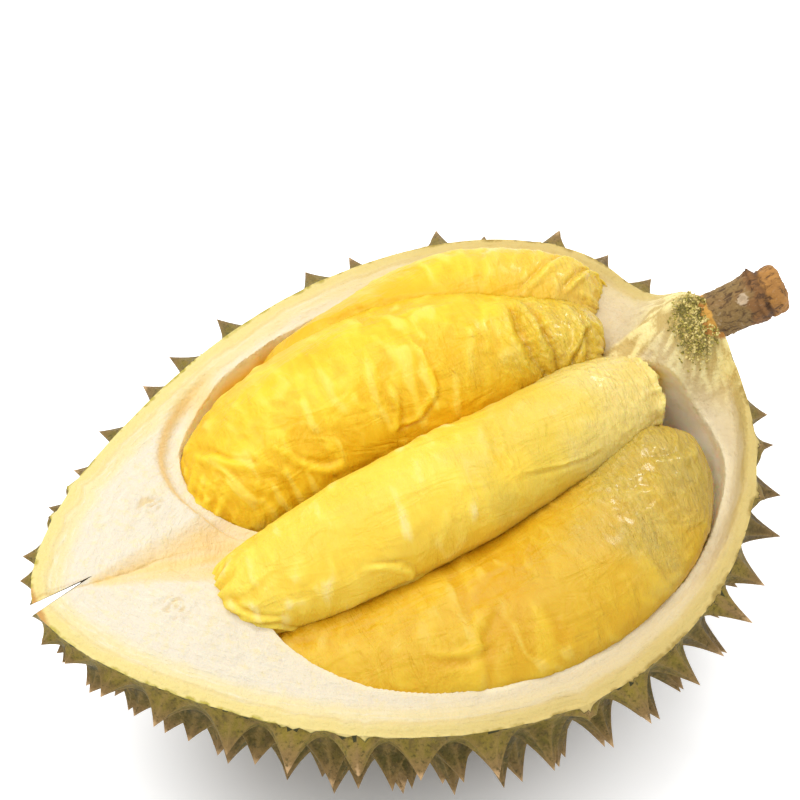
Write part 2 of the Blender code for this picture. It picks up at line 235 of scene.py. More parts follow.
class DurianStem(bpy.types.PropertyGroup):
    """Bark and colours of the stem"""
    bark: length("Bark depth", "Depth of the bark's cracks", 0.0007, 0.0, 0.002)
    olive: colour("Bark", "Colour of the bark by the fruit", (0.28, 0.175, 0.060))
    umber: colour("Brown bark", "Colour of the bark by the joint", (0.26, 0.120, 0.035))
    rust: colour("Rusty bark", "Colour of the bark past the joint", (0.46, 0.215, 0.048))
    crack: colour("Cracks", "Colour of the cracks and the joint", (0.070, 0.032, 0.012))
    scuff: colour("Scuffs", "Colour of the scuffed scales and the knot", (0.56, 0.42, 0.27))
    ring: colour("Ring", "Colour of the torn ring at the foot", (0.66, 0.34, 0.06))


class DurianStage(bpy.types.PropertyGroup):
    """Floor and lights"""
    floor: colour("Floor", "Colour of the floor", (0.97, 0.97, 0.97))
    key: FloatProperty(name="Key light", description="Power of the large soft light",
                       default=5.7, min=0.0, unit="POWER")
    glint: FloatProperty(name="Back light", description="Power of the light that glints",
                         default=3.0, min=0.0, unit="POWER")
    fill: FloatProperty(name="Fill light", description="Strength of the light from all sides",
                        default=0.76, min=0.0)


class DurianSettings(bpy.types.PropertyGroup):
    """All settings of the opened durian"""
    husk: PointerProperty(type=DurianHusk, name="Husk", description="Spiny skin and pith")
    flesh: PointerProperty(type=DurianFlesh, name="Flesh", description="The four pods")
    stem: PointerProperty(type=DurianStem, name="Stem", description="The woody stub")
    stage: PointerProperty(type=DurianStage, name="Stage", description="Floor and light")


def settings():
    """The four groups of settings."""
    return bpy.context.scene.durian


# ---------------------------------------------------------------- node expressions
class Wire:
    """A socket, with arithmetic that adds Math nodes."""

    def __init__(self, weave, socket):
        self.weave, self.socket = weave, socket

    def maths(self, operation, first, second=0.0):
        """A Math node, whose inputs are wires or numbers."""
        return self.weave.node("ShaderNodeMath", {"operation": operation}, {0: first, 1: second})

    def __add__(self, other):
        return self.maths("ADD", self, other)

    __radd__ = __add__

    def __sub__(self, other):
        return self.maths("SUBTRACT", self, other)

    def __rsub__(self, other):
        return self.maths("SUBTRACT", other, self)

    def __mul__(self, other):
        return self.maths("MULTIPLY", self, other)

    __rmul__ = __mul__

    def __pow__(self, other):
        return self.maths("POWER", self, other)


class Weave:
    """Builds nodes in one tree."""

    def __init__(self, tree):
        self.tree = tree

    def node(self, kind, fixed=None, given=None, output=0):
        """Adds a node: its fixed settings first, then the values or wires of its sockets."""
        made = self.tree.nodes.new(kind)
        for name, value in (fixed or {}).items():
            setattr(made, name, value)
        for name, value in (given or {}).items():
            if isinstance(value, Wire):
                self.tree.links.new(value.socket, made.inputs[name])
            else:
                made.inputs[name].default_value = value
        return Wire(self, made.outputs[output])

    def attribute(self, name):
        """What was noted under this name, read by a material."""
        return self.node("ShaderNodeAttribute", {"attribute_name": name}, output="Fac")

    def smooth(self, value, none, whole):
        """0 at none, 1 at whole, eased between them."""
        return self.node("ShaderNodeMapRange", {"interpolation_type": "SMOOTHSTEP"},
                         {"Value": value, "From Min": none, "From Max": whole})

    def mix(self, factor, first, second):
        """Colour between two colours."""
        def plain(tint):
            return tint if isinstance(tint, Wire) else (*tint, 1.0)
        return self.node("ShaderNodeMix", {"data_type": "RGBA"},
                         {0: factor, 6: plain(first), 7: plain(second)}, output=2)

    def grain(self, place, size, detail=3.0, roughness=0.55, distortion=0.0):
        """Noise whose lumps are about this big, in metres."""
        return self.node("ShaderNodeTexNoise", {}, {
            "Vector": place, "Scale": 1.0 / size, "Detail": detail, "Roughness": roughness,
            "Distortion": distortion}, output="Fac")

    def lines(self, noise, width):
        """1 on the meandering lines where the noise crosses its middle, 0 away from them."""
        off = self.node("ShaderNodeMath", {"operation": "ABSOLUTE"}, {0: noise - 0.5})
        return self.smooth(off, width, 0.0)

    def scaled(self, vector, by):
        """A vector times a number."""
        return self.node("ShaderNodeVectorMath", {"operation": "SCALE"}, {0: vector, "Scale": by})

    def stretched(self, place, scale, turn=(0.0, 0.0, 0.0)):
        """Places to read a pattern at, so that it's drawn out where the scale is small."""
        return self.node("ShaderNodeMapping", {}, {"Vector": place, "Scale": scale,
                                                   "Rotation": turn})


class Finish(Weave):
    """A Principled material under construction."""

    def __init__(self, name, **fixed):
        self.material = bpy.data.materials.new(name)
        self.material.use_nodes = True
        super().__init__(self.material.node_tree)
        self.shader = self.tree.nodes["Principled BSDF"]
        self.place = self.node("ShaderNodeTexCoord", output="Object")
        for name, value in fixed.items():
            self.shader.inputs[name.replace("_", " ")].default_value = value

    def feed(self, socket, wire):
        """Drives one input of the Principled shader."""
        self.tree.links.new(wire.socket, self.shader.inputs[socket])

    def bump(self, *layers):
        """Stacks bumps of (height, depth in metres)."""
        normal = None
        for height, depth in layers:
            given = {"Height": height, "Distance": depth, "Strength": 1.0}
            if normal is not None:
                given["Normal"] = normal
            normal = self.node("ShaderNodeBump", {}, given)
        self.feed("Normal", normal)


# ---------------------------------------------------------------- noise on arrays
_dice = np.random.default_rng(11)
_SHUFFLE = np.tile(_dice.permutation(256), 3)
_SLOPES = _dice.normal(size=(256, 3))
_SLOPES /= np.linalg.norm(_SLOPES, axis=1)[:, None]


def lumps(points, size, seed=0):
    """Smooth noise from about -1 to 1 whose lumps are about this big."""
    points = points / size + seed * 17.31
    cell = np.floor(points).astype(int)
    part = points - cell
    ease = part ** 3 * (part * (part * 6.0 - 15.0) + 10.0)
    total = np.zeros(len(points))
    for corner in product((0, 1), repeat=3):
        corner = np.array(corner)
        x, y, z = (cell + corner).T & 255
        slope = _SLOPES[_SHUFFLE[_SHUFFLE[_SHUFFLE[x] + y] + z]]
        weight = np.prod(np.where(corner, ease, 1.0 - ease), axis=1)
        total += weight * np.sum(slope * (part - corner), axis=1)
    return total * 1.6


def creases(points, size, seed=0, sharp=4.0):
    """Thin meandering lines: 1 on the line, falling off to 0."""
    return np.clip(1.0 - np.abs(lumps(points, size, seed)), 0.0, 1.0) ** sharp


def ramp(value, none, whole):
    """0 at none, 1 at whole, in a straight line between them."""
    return np.clip((value - none) / (whole - none), 0.0, 1.0)


def eased(value, none, whole):
    """0 at none, 1 at whole, eased between them."""
    part = ramp(value, none, whole)
    return part * part * (3.0 - 2.0 * part)


# ---------------------------------------------------------------- the fruit's form
def lobed(angle):
    """Share of the full radius at an angle round the fruit: less in its five furrows."""
    return 1.0 - LOBE_SWELL * 0.5 * (1.0 + np.cos(5.0 * (angle - LOBE_SEAM)))


def skin_radius(along, angle):
    """The husk's radius, without its spines, at shares of its half-length and angles round it."""
    across = np.sqrt(np.maximum(0.0, 1.0 - along * along))
    taper = np.where(along > 0.0,
                     (SHOULDER_TAPER + SHOULDER_LEAN * np.cos(angle)) * along ** 6,
                     TIP_TAPER * along * along)
    return GIRTH_RADIUS * across * (1.0 - taper) * (1.0 + (lobed(angle) - 1.0) * across)


def skin_at(direction):
    """Points of the husk in these directions from its middle, and the ways that its spines point."""
    along = np.clip(direction[:, 0], -1.0, 1.0)
    across = np.sqrt(np.maximum(0.0, 1.0 - along * along))
    angle = np.arctan2(direction[:, 2], direction[:, 1])
    half = np.where(along > 0.0, SHOULDER_LENGTH, TIP_LENGTH)
    x = half * along - np.where(along < 0.0, TIP_POINT * (1.0 - across) ** 3, 0.0)
    radius = skin_radius(along, angle)
    point = np.stack((x, radius * np.cos(angle), radius * np.sin(angle)), axis=1)
    outward = np.stack((along / half, across * np.cos(angle) / GIRTH_RADIUS,
                        across * np.sin(angle) / GIRTH_RADIUS), axis=1)
    return point, outward / np.linalg.norm(outward, axis=1)[:, None]


def depth_under_skin(point):
    """How deep a point lies in the husk, measured away from the fruit's axis."""
    half = np.where(point[:, 0] > 0.0, SHOULDER_LENGTH, TIP_LENGTH)
    along = np.clip(point[:, 0] / half, -1.0, 1.0)
    radius = np.hypot(point[:, 1], point[:, 2])
    return skin_radius(along, np.arctan2(point[:, 2], point[:, 1])) - radius


def held_inside(point, wall=WALL):
    """Pulls points in towards the fruit's axis where they would thin the husk below this wall."""
    radius = np.hypot(point[:, 1], point[:, 2])
    limit = radius + depth_under_skin(point) - wall
    over = (radius - (limit - WALL_SOFTNESS)) / WALL_SOFTNESS
    pulled = np.maximum(0.0, limit - WALL_SOFTNESS * np.exp(-np.maximum(over, 0.0)))
    factor = np.where(over > 0.0, pulled / np.maximum(radius, 1e-9), 1.0)
    return point * np.stack((np.ones_like(factor), factor, factor), axis=1)


def groove_run(x, y):
    """How far along the groove a place lies, and how far off its middle, in half-widths."""
    run = np.maximum(0.0, x - GROOVE_START)
    return run, (y - GROOVE_MIDDLE) / (GROOVE_OPENS * run + GROOVE_NARROWEST)


def cut_height(x, y):
    """Height of the plain cut face, with its heaps and the groove between the lobes."""
    end = np.where(x > 0.0, SHOULDER_LENGTH, TIP_LENGTH)
    height = CUT_DROP * (np.minimum(1.0, (x / end) ** 2) - 1.0)
    height = height + CUT_SLOPE * y + CUT_TWIST * x * np.maximum(0.0, y)
    for heap_x, heap_y, reach, tall in CUT_HEAPS:
        height = height + tall * np.exp(-((x - heap_x) ** 2 + (y - heap_y) ** 2) / reach ** 2)
    run, offside = groove_run(x, y)
    groove = np.minimum(GROOVE_DEEPEST, GROOVE_DEEPENS * run) * ramp(x, *GROOVE_FADE)
    return height - groove * np.maximum(0.0, 1.0 - offside ** 2) ** GROOVE_SOFTNESS


def groove_share(x, y):
    """1 along the middle of the groove between the lobes of the tip, 0 outside it."""
    run, offside = groove_run(x, y)
    middle = np.clip(1.0 - offside ** 2, 0.0, 1.0)
    return middle * ramp(x, *GROOVE_FADE) * ramp(run, 0.0, GROOVE_WARMS)


def seam_offset(x, y):
    """Distance, either side, from the crease that runs on from the cleft along the groove."""
    run, _ = groove_run(x, y)
    off = y - GROOVE_MIDDLE - SEAM_CLIMB * run
    return off + np.copysign(SEAM_LOST, off) * (1.0 - eased(x, *SEAM_FADE))


# ---------------------------------------------------------------- meshes
def mesh_from(name, points, faces):
    """A mesh of these points and faces."""
    mesh = bpy.data.meshes.new(name)
    mesh.from_pydata(points.tolist(), [], faces)
    return mesh


def placed(name, mesh):
    """A new object in the scene, with this mesh, camera or light."""
    made = bpy.data.objects.new(name, mesh)
    bpy.context.scene.collection.objects.link(made)
    return made


def coordinates(mesh):
    """The places of the vertices."""
    flat = np.empty(len(mesh.vertices) * 3, np.float32)
    mesh.vertices.foreach_get("co", flat)
    return flat.reshape(-1, 3).astype(float)


def move_to(mesh, points):
    """Puts the vertices at these places."""
    mesh.vertices.foreach_set("co", points.astype(np.float32).ravel())
    mesh.update()


def normals(mesh):
    """The ways that the vertices face."""
    flat = np.empty(len(mesh.vertices) * 3, np.float32)
    mesh.vertices.foreach_get("normal", flat)
    return flat.reshape(-1, 3).astype(float)


def note(mesh, name, values):
    """Stores a number, or a vector, for each vertex."""
    values = np.asarray(values, np.float32)
    kind, field = ("FLOAT", "value") if values.ndim == 1 else ("FLOAT_VECTOR", "vector")
    layer = mesh.attributes.get(name) or mesh.attributes.new(name, kind, "POINT")
    layer.data.foreach_set(field, values.ravel())


def noted(mesh, name):
    """The numbers that were stored under this name."""
    values = np.empty(len(mesh.vertices), np.float32)
    mesh.attributes[name].data.foreach_get("value", values)
    return values.astype(float)


def closed_grid(rings, segments):
    """A closed skin of rings between two poles: how far along each vertex is, its angle, the faces."""
    along = [0.0]
    angle = [0.0]
    for ring in range(1, rings):
        for segment in range(segments):
            along.append(ring / rings)
            angle.append(2.0 * math.pi * segment / segments)
    along.append(1.0)
    angle.append(0.0)

    def at(ring, segment):
        return 1 + (ring - 1) * segments + segment % segments
    last = len(along) - 1
    faces = []
    for segment in range(segments):
        faces.append((0, at(1, segment + 1), at(1, segment)))
        faces.append((last, at(rings - 1, segment), at(rings - 1, segment + 1)))
        for ring in range(1, rings - 1):
            faces.append((at(ring, segment), at(ring, segment + 1), at(ring + 1, segment + 1),
                          at(ring + 1, segment)))
    return np.array(along), np.array(angle), faces


def edited(mesh, change):
    """Makes a change to a mesh, as an editable body."""
    body = bmesh.new()
    body.from_mesh(mesh)
    change(body)
    body.to_mesh(mesh)
    body.free()
    return mesh


def facing_out(mesh):
    """Turns the faces of a closed mesh round where they face inwards."""
    def turn(body):
        if body.calc_volume(signed=True) < 0.0:
            bmesh.ops.reverse_faces(body, faces=body.faces)
    return edited(mesh, turn)


def cube_cutter(name, corner):
    """A block with eight corners, each placed by the corner of a cube that it stands for."""
    def shape(body):
        bmesh.ops.create_cube(body, size=1.0)
        for vert in body.verts:
            vert.co = corner(*vert.co)
    return placed(name, facing_out(edited(bpy.data.meshes.new(name), shape)))


def evaluated(obj):
    """Applies an object's modifiers to its mesh."""
    bpy.context.view_layer.update()
    graph = bpy.context.evaluated_depsgraph_get()
    mesh = bpy.data.meshes.new_from_object(obj.evaluated_get(graph))
    obj.modifiers.clear()
    obj.data = mesh


def carved(obj, cutters):
    """Cuts the cutters out of an object, and takes them away."""
    for cutter in cutters:
        modifier = obj.modifiers.new(cutter.name, "BOOLEAN")
        modifier.operation = "DIFFERENCE"
        modifier.solver = "MANIFOLD"
        modifier.object = cutter
    evaluated(obj)
    for cutter in cutters:
        bpy.data.objects.remove(cutter)


def drop_scraps(mesh):
    """Deletes the slivers that a cut leaves loose."""
    def drop(body):
        unseen = set(body.faces)
        scraps = []
        while unseen:
            island = [unseen.pop()]
            for face in island:
                near = {other for edge in face.edges for other in edge.link_faces} & unseen
                unseen -= near
                island.extend(near)
            if len(island) < SCRAP_FACES:
                scraps.extend(island)
        bmesh.ops.delete(body, geom=scraps, context="FACES")
    edited(mesh, drop)


def finished(obj, node, sharp_angle=None):
    """Smooth shading, the place in the frame, and what the piece stands for."""
    obj.data.polygons.foreach_set("use_smooth", [True] * len(obj.data.polygons))
    if sharp_angle is not None:
        obj.data.set_sharp_from_angle(angle=sharp_angle)
    move_to(obj.data, coordinates(obj.data) + FRUIT_AXIS)
    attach(obj, "root")
    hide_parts(node)


# ---------------------------------------------------------------- geometry nodes
def geometry_tree(name, numbers):
    """A tree that takes a mesh and named numbers; returns its Weave and its wires by name."""
    tree = bpy.data.node_groups.new(name, "GeometryNodeTree")
    tree.interface.new_socket("Geometry", in_out="INPUT", socket_type="NodeSocketGeometry")
    for title in numbers:
        tree.interface.new_socket(title, in_out="INPUT", socket_type="NodeSocketFloat")
    tree.interface.new_socket("Material", in_out="INPUT", socket_type="NodeSocketMaterial")
    tree.interface.new_socket("Geometry", in_out="OUTPUT", socket_type="NodeSocketGeometry")
    weave = Weave(tree)
    entry = tree.nodes.new("NodeGroupInput")
    return weave, {socket.name: Wire(weave, socket) for socket in entry.outputs if socket.name}


def end_tree(weave, geometry, material):
    """Ends a tree: makes its instances real and gives them the material."""
    solid = weave.node("GeometryNodeRealizeInstances", {}, {"Geometry": geometry})
    solid = weave.node("GeometryNodeSetMaterial", {}, {"Geometry": solid, "Material": material})
    leave = weave.tree.nodes.new("NodeGroupOutput")
    weave.tree.links.new(solid.socket, leave.inputs[0])


def run_tree(obj, weave, values):
    """Runs a tree on an object with these values, and applies it."""
    modifier = obj.modifiers.new(weave.tree.name, "NODES")
    modifier.node_group = weave.tree
    for item in weave.tree.interface.items_tree:
        if item.in_out == "INPUT" and item.name in values:
            modifier[item.identifier] = values[item.name]
    evaluated(obj)


def named(weave, name, kind="FLOAT"):
    """What was noted under this name, read by a geometry tree."""
    return weave.node("GeometryNodeInputNamedAttribute", {"data_type": kind}, {"Name": name})


def spine_tree():
    """Raises the spines: concave flanks that sink between the ridges."""
    weave, given = geometry_tree("raise_spines", ("Flare", "Ridge Depth"))
    rise = named(weave, "share") ** given["Flare"]
    between = (1 - named(weave, "ridge")) * (1 - named(weave, "share"))
    height = named(weave, "height") * rise * (1 - between * given["Ridge Depth"])
    offset = weave.scaled(named(weave, "outward", "FLOAT_VECTOR"), height)
    raised = weave.node("GeometryNodeSetPosition", {}, {
        "Geometry": given["Geometry"], "Offset": offset})
    end_tree(weave, raised, given["Material"])
    return weave


# ---------------------------------------------------------------- husk
def spine_cells(spine_length):
    """Tips, cell corners, spine heights and the sectors (tip, corner, corner) round each tip."""
    rng = random.Random(SPINE_SEED)
    body = bmesh.new()
    bmesh.ops.create_icosphere(body, subdivisions=SPINE_DIVISIONS, radius=1.0)
    turn = Vector((0.3, 1.0, 0.2)).normalized()
    bmesh.ops.rotate(body, verts=body.verts, cent=(0, 0, 0),
                     matrix=turn.rotation_difference(Vector((1, 0, 0))).to_matrix())
    spacing = math.sqrt(4.0 * math.pi / len(body.verts))
    spread = []
    for tip in body.verts:
        shift = Vector([rng.uniform(-1.0, 1.0) for _ in range(3)])
        tip.co = (tip.co + shift * spacing * SPINE_PLACE_SPREAD).normalized()
        spread.append(rng.uniform(-1.0, 1.0))
    body.verts.index_update()
    body.faces.index_update()
    tips = np.array([tip.co for tip in body.verts])
    corners = np.array([face.calc_center_median() for face in body.faces])
    sectors = np.array([(tip.index, *(face.index for face in edge.link_faces))
                        for edge in body.edges for tip in edge.verts])
    body.free()
    turned = np.einsum("ij,ij->i", tips[sectors[:, 0]],
                       np.cross(corners[sectors[:, 1]], corners[sectors[:, 2]])) < 0.0
    sectors[turned] = sectors[turned][:, [0, 2, 1]]
    foot, _ = skin_at(tips)
    shortens = np.where(tips[:, 0] < 0.0, SPINE_SHORTENS_AT_TIP, SPINE_SHORTENS_AT_SHOULDER)
    height = spine_length * (1.0 - shortens * tips[:, 0] ** 4)
    height *= ramp(cut_height(foot[:, 0], foot[:, 1]) - foot[:, 2], *SPINE_RIM_FADE)
    height *= ramp(tips[:, 0], *SPINE_STEM_FADE)
    height *= 1.0 + SPINE_LENGTH_SPREAD * np.array(spread)
    return tips, corners, height, sectors


def sector_pattern():
    """Weights (tip, corner, corner) of the points in one sector, and its faces."""
    weights, rings = [], []
    for ring, tip in enumerate(SPINE_RINGS):
        steps = min(ring, SPINE_SIDES)
        rings.append(list(range(len(weights), len(weights) + steps + 1)))
        for step in range(steps + 1):
            part = step / steps if steps else 0.0
            weights.append((tip, (1.0 - tip) * (1.0 - part), (1.0 - tip) * part))
    faces = []
    for upper, lower in zip(rings, rings[1:]):
        if len(upper) == len(lower):
            faces += [(upper[k], lower[k], lower[k + 1], upper[k + 1])
                      for k in range(len(upper) - 1)]
        else:
            faces += [(upper[k], lower[k], lower[k + 1]) for k in range(len(upper))]
            faces += [(upper[k], lower[k + 1], upper[k + 1]) for k in range(len(upper) - 1)]
    return np.array(weights), faces


def spiny_skin(look, material):
    """The whole husk as it grew, with its spines and what its finish reads."""
    tips, corners, height, sectors = spine_cells(look.spine_length)
    weights, pattern = sector_pattern()
    frames = np.stack((tips[sectors[:, 0]], corners[sectors[:, 1]], corners[sectors[:, 2]]), axis=1)
    direction = np.einsum("pw,swc->spc", weights, frames).reshape(-1, 3)
    direction /= np.linalg.norm(direction, axis=1)[:, None]
    foot, outward = skin_at(direction)
    size = len(weights)
    faces = [tuple(base + k for k in face)
             for base in range(0, size * len(sectors), size) for face in pattern]
    mesh = mesh_from("husk", foot, faces)
    tip_share = np.tile(weights[:, 0], len(sectors))
    beside = np.maximum(weights[:, 1] + weights[:, 2], 1e-9)
    ridge = np.where(weights[:, 0] > 0.999, 1.0, np.abs(weights[:, 1] - weights[:, 2]) / beside)
    tone = np.random.default_rng(SPINE_SEED).random(len(tips))
    note(mesh, "share", tip_share)
    note(mesh, "ridge", np.tile(ridge, len(sectors)))
    below_cut = cut_height(foot[:, 0], foot[:, 1]) - foot[:, 2]
    note(mesh, "height", np.repeat(height[sectors[:, 0]], size) * eased(below_cut, *RIM_CLEAR))
    note(mesh, "tone", np.repeat(tone[sectors[:, 0]], size))
    note(mesh, "outward", outward)
    edited(mesh, lambda body: bmesh.ops.remove_doubles(body, verts=body.verts, dist=SAME_PLACE))
    husk = placed("husk_dressed", mesh)
    run_tree(husk, spine_tree(), {"Flare": look.flare, "Ridge Depth": look.ridge,
                                  "Material": material})
    return husk


SIDE_SHIFT = 0.25           # keeps the fibres of the two sides of the rim unlike each other


def cut_way(x, y):
    """How far round the rim, either way from the stem, a point of the cut face lies, in metres."""
    return np.abs(np.arctan2(y, x * RIM_SQUEEZE)) * RIM_REACH


def scar_marks(x, y):
    """How near a torn scar lies, and its short cracks."""
    near = sum(np.exp(-((x - at_x) ** 2 + (y - at_y) ** 2) / reach ** 2)
               for at_x, at_y, reach in SCARS)
    slant = np.stack((x * 0.4 + y * 0.3, y - x * 0.4, np.zeros_like(x)), axis=1)
    return near, 1.0 - creases(slant, 0.0036, 9, 5.0)


def groove_rays(x, y):
    """Fine rays that spread from the start of the groove, from about -1 to 1."""
    away_x, away_y = x - GROOVE_START, y - GROOVE_MIDDLE
    rays = np.stack((np.arctan2(away_y, away_x) * 0.04, np.hypot(away_x, away_y) * 0.12,
                     np.zeros_like(x)), axis=1)
    return lumps(rays, 0.0022, 11)


def crumb_share(x, y):
    """1 in the middle of the torn bits, 0 away from them."""
    return np.exp(-(np.hypot(x - CRUMBS[0], y - CRUMBS[1]) / CRUMBS[2]) ** 2)


def torn_strands(x, y):
    """1 on the torn mound and its crest, 0 away from them; and places that follow its strands."""
    spread, reach = mound_polar(x, y)
    torn = np.maximum(np.exp(-(reach / MOUND_REACH) ** 2), ridge_share(x, y))
    return torn, np.stack((spread * 0.012, reach * 0.22, np.zeros_like(x)), axis=1)


def pith_relief(x, y, height):
    """Fibres along the rim, torn scars on the lobes, rays in the groove and the torn mound."""
    point = np.stack((x, y, height), axis=1)
    depth = depth_under_skin(point)
    rope = np.stack((cut_way(x, y) * 0.16, depth, y * SIDE_SHIFT), axis=1)
    relief = 0.5 * lumps(rope, 0.0024, 1) + 0.25 * lumps(rope, 0.0012, 2)
    relief += 0.9 * lumps(point, 0.014, 3) + 0.6 * lumps(point, 0.006, 4)
    relief += 0.3 * lumps(point, 0.0026, 5)
    vein = depth - VEIN_DEPTH - 0.0009 * lumps(rope, 0.004, 6)
    relief += RIM_CROWN * np.sin(math.pi * ramp(depth, 0.0, WALL))
    relief -= 0.4 * np.exp(-(vein / 0.0006) ** 2)
    relief *= ramp(depth, 0.0002, 0.003)
    near, marks = scar_marks(x, y)
    relief += near * (0.5 - 2.2 * marks + 1.5 * lumps(point, 0.0024, 10))
    relief += 0.7 * groove_rays(x, y) * groove_share(x, y)
    relief -= 1.6 * np.exp(-(seam_offset(x, y) / SEAM_WIDTH) ** 2)
    torn, strands = torn_strands(x, y)
    relief += torn * (2.6 * lumps(strands, 0.0028, 12) + 1.1 * lumps(strands, 0.0014, 12)
                      + 2.4 * lumps(point, 0.008, 13))
    relief += crumb_share(x, y) * (2.6 * lumps(point, 0.0032, 14) + 1.3 * lumps(point, 0.0016, 15))
    return relief


def scoop_share(x, y, height):
    """1 at the foot of the scoop by the back chamber's lip, 0 outside it."""
    centre, half = CHAMBERS[0]
    apart = np.sqrt(((x - centre[0]) / half[0]) ** 2 + ((y - centre[1]) / half[1]) ** 2
                    + ((height - centre[2]) / half[2]) ** 2)
    return eased(apart, *SCOOP_EDGE) * eased(x, *SCOOP_FADE)


def lip_slope(x, y, height):
    """How far the pith slopes away by the chambers' lips, and sinks behind the mound."""
    depth = depth_under_skin(np.stack((x, y, height), axis=1))
    there = eased(x, *LIP_ALONG) * eased(y, *LIP_ACROSS)
    slope = LIP_DROP * eased(depth, 0.5 * WALL, 1.25 * WALL) * there
    scoop = SCOOP_DROP * scoop_share(x, y, height)
    pocket = POCKET_DROP * np.exp(-((x - POCKET[0]) ** 2 + (y - POCKET[1]) ** 2) / POCKET[2] ** 2)
    return slope + scoop + pocket


def ridge_share(x, y):
    """1 on the crest of torn pith between the pods and the stem's foot, 0 away from it."""
    start, end = np.array(RIDGE)
    way = end - start
    size = math.hypot(*way)
    run = ((x - start[0]) * way[0] + (y - start[1]) * way[1]) / size ** 2
    off = ((y - start[1]) * way[0] - (x - start[0]) * way[1]) / size
    return np.exp(-(off / RIDGE_WIDTH) ** 2) * eased(run, -0.10, 0.25) * eased(run, 1.15, 0.9)


def mound_polar(x, y):
    """Angle and distance of a point of the cut face from the stem's foot."""
    away_x, away_y = x - STEM_LINE[1][0], y - STEM_LINE[1][1]
    return np.arctan2(away_y, away_x), np.hypot(away_x, away_y)


def opening_block(look):
    """The block that opens the husk: its underside is the cut face."""
    half_length = TIP_LENGTH + CUT_MARGIN
    half_width = GIRTH_RADIUS + CUT_MARGIN
    steps_x = int(2 * half_length / OPENING_STEP)
    steps_y = int(2 * half_width / OPENING_STEP)
    x, y = np.meshgrid(np.linspace(-half_length, half_length, steps_x),
                       np.linspace(-half_width, half_width, steps_y), indexing="ij")
    x, y = x.ravel(), y.ravel()
    height = cut_height(x, y)
    height = (height + look.relief * pith_relief(x, y, height) - lip_slope(x, y, height)
              + RIDGE_HEIGHT * ridge_share(x, y))
    low = np.stack((x, y, height), axis=1)

    def at(i, j):
        return i * steps_y + j
    faces = [(at(i, j), at(i, j + 1), at(i + 1, j + 1), at(i + 1, j))
             for i in range(steps_x - 1) for j in range(steps_y - 1)]
    rim = ([at(i, 0) for i in range(steps_x)] + [at(steps_x - 1, j) for j in range(1, steps_y)]
           + [at(i, steps_y - 1) for i in range(steps_x - 2, -1, -1)]
           + [at(0, j) for j in range(steps_y - 2, 0, -1)])
    top = low[rim].copy()
    top[:, 2] = 2.0 * GIRTH_RADIUS
    count = len(low)
    lid = [count + k for k in range(len(rim))]
    for k, vert in enumerate(rim):
        onward = (k + 1) % len(rim)
        faces.append((vert, rim[onward], lid[onward], lid[k]))
    faces.append(tuple(lid))
    mesh = mesh_from("opening", np.concatenate((low, top)), faces)
    return placed("opening", facing_out(mesh))


HOLLOW_RINGS = 130
HOLLOW_SEGMENTS = 180
HOLLOW_RIPPLE = 0.0007      # how far the walls' ripples stand in, on average


def hollow(number, centre, half):
    """One chamber: a smooth shell whose wall is faintly rippled."""
    along, angle, faces = closed_grid(HOLLOW_RINGS, HOLLOW_SEGMENTS)
    polar = np.stack((np.cos(math.pi * along), np.sin(math.pi * along) * np.cos(angle),
                      np.sin(math.pi * along) * np.sin(angle)), axis=1)
    narrowed = 1.0 - SCOOP_SHARE * eased(polar[:, 0], 0.0, -0.9) * (number == 0)
    point = held_inside(np.array(centre) + polar * narrowed[:, None] * np.array(half))
    ripple = 0.6 * lumps(point, 0.018, 7) + 0.35 * lumps(point, 0.006, 8)
    point -= polar * (HOLLOW_RIPPLE * np.clip(1.0 + ripple, 0.0, 2.0))[:, None]
    mesh = mesh_from("hollow", point, faces)
    return placed("hollow_%d" % number, facing_out(mesh))


def cleft_wedge():
    """The leaning wedge that parts the lobes, wider and further aside past the tip."""
    past_tip = -TIP_LENGTH - CUT_MARGIN
    widens = (past_tip - CLEFT_END) / (-TIP_LENGTH - CLEFT_END)

    def corner(x, y, z):
        outer = x < 0.0
        z = math.copysign(0.5 * TIP_LENGTH, z)
        middle = GROOVE_MIDDLE - CLEFT_LEAN * z - (CLEFT_VEER * widens if outer else 0.0)
        gap = CLEFT_GAP * widens if outer else CLEFT_POINT
        return past_tip if outer else CLEFT_END, middle + math.copysign(0.5 * gap, y), z
    return cube_cutter("cleft", corner)


def table_slab():
    """The slab under the fruit, which wears its lowest spines flat."""
    def corner(x, y, z):
        return x, y, -TABLE_DROP if z > 0.0 else -TABLE_DROP - SLAB_THICKNESS
    return cube_cutter("table", corner)


LIP_PASSES = (4, 4, 3, 3, 2, 2, 1, 1, 0, 0)     # how many rings beside a lip each smoothing takes


def soften_lips(mesh, regions):
    """Rounds the lips of the chambers, where the cut pith meets their lining."""
    def soften(body):
        body.verts.ensure_lookup_table()
        rings = [{vert for edge in body.edges if len(edge.link_faces) == 2
                  and {regions[face.index] for face in edge.link_faces} == {PITH, LINING}
                  for vert in edge.verts}]
        for _ in range(max(LIP_PASSES)):
            wider = {edge.other_vert(vert) for vert in rings[-1] for edge in vert.link_edges}
            rings.append(rings[-1] | wider)
        for wide in LIP_PASSES:
            bmesh.ops.smooth_vert(body, verts=list(rings[wide]), factor=0.5, use_axis_x=True,
                                  use_axis_y=True, use_axis_z=True)
    edited(mesh, soften)


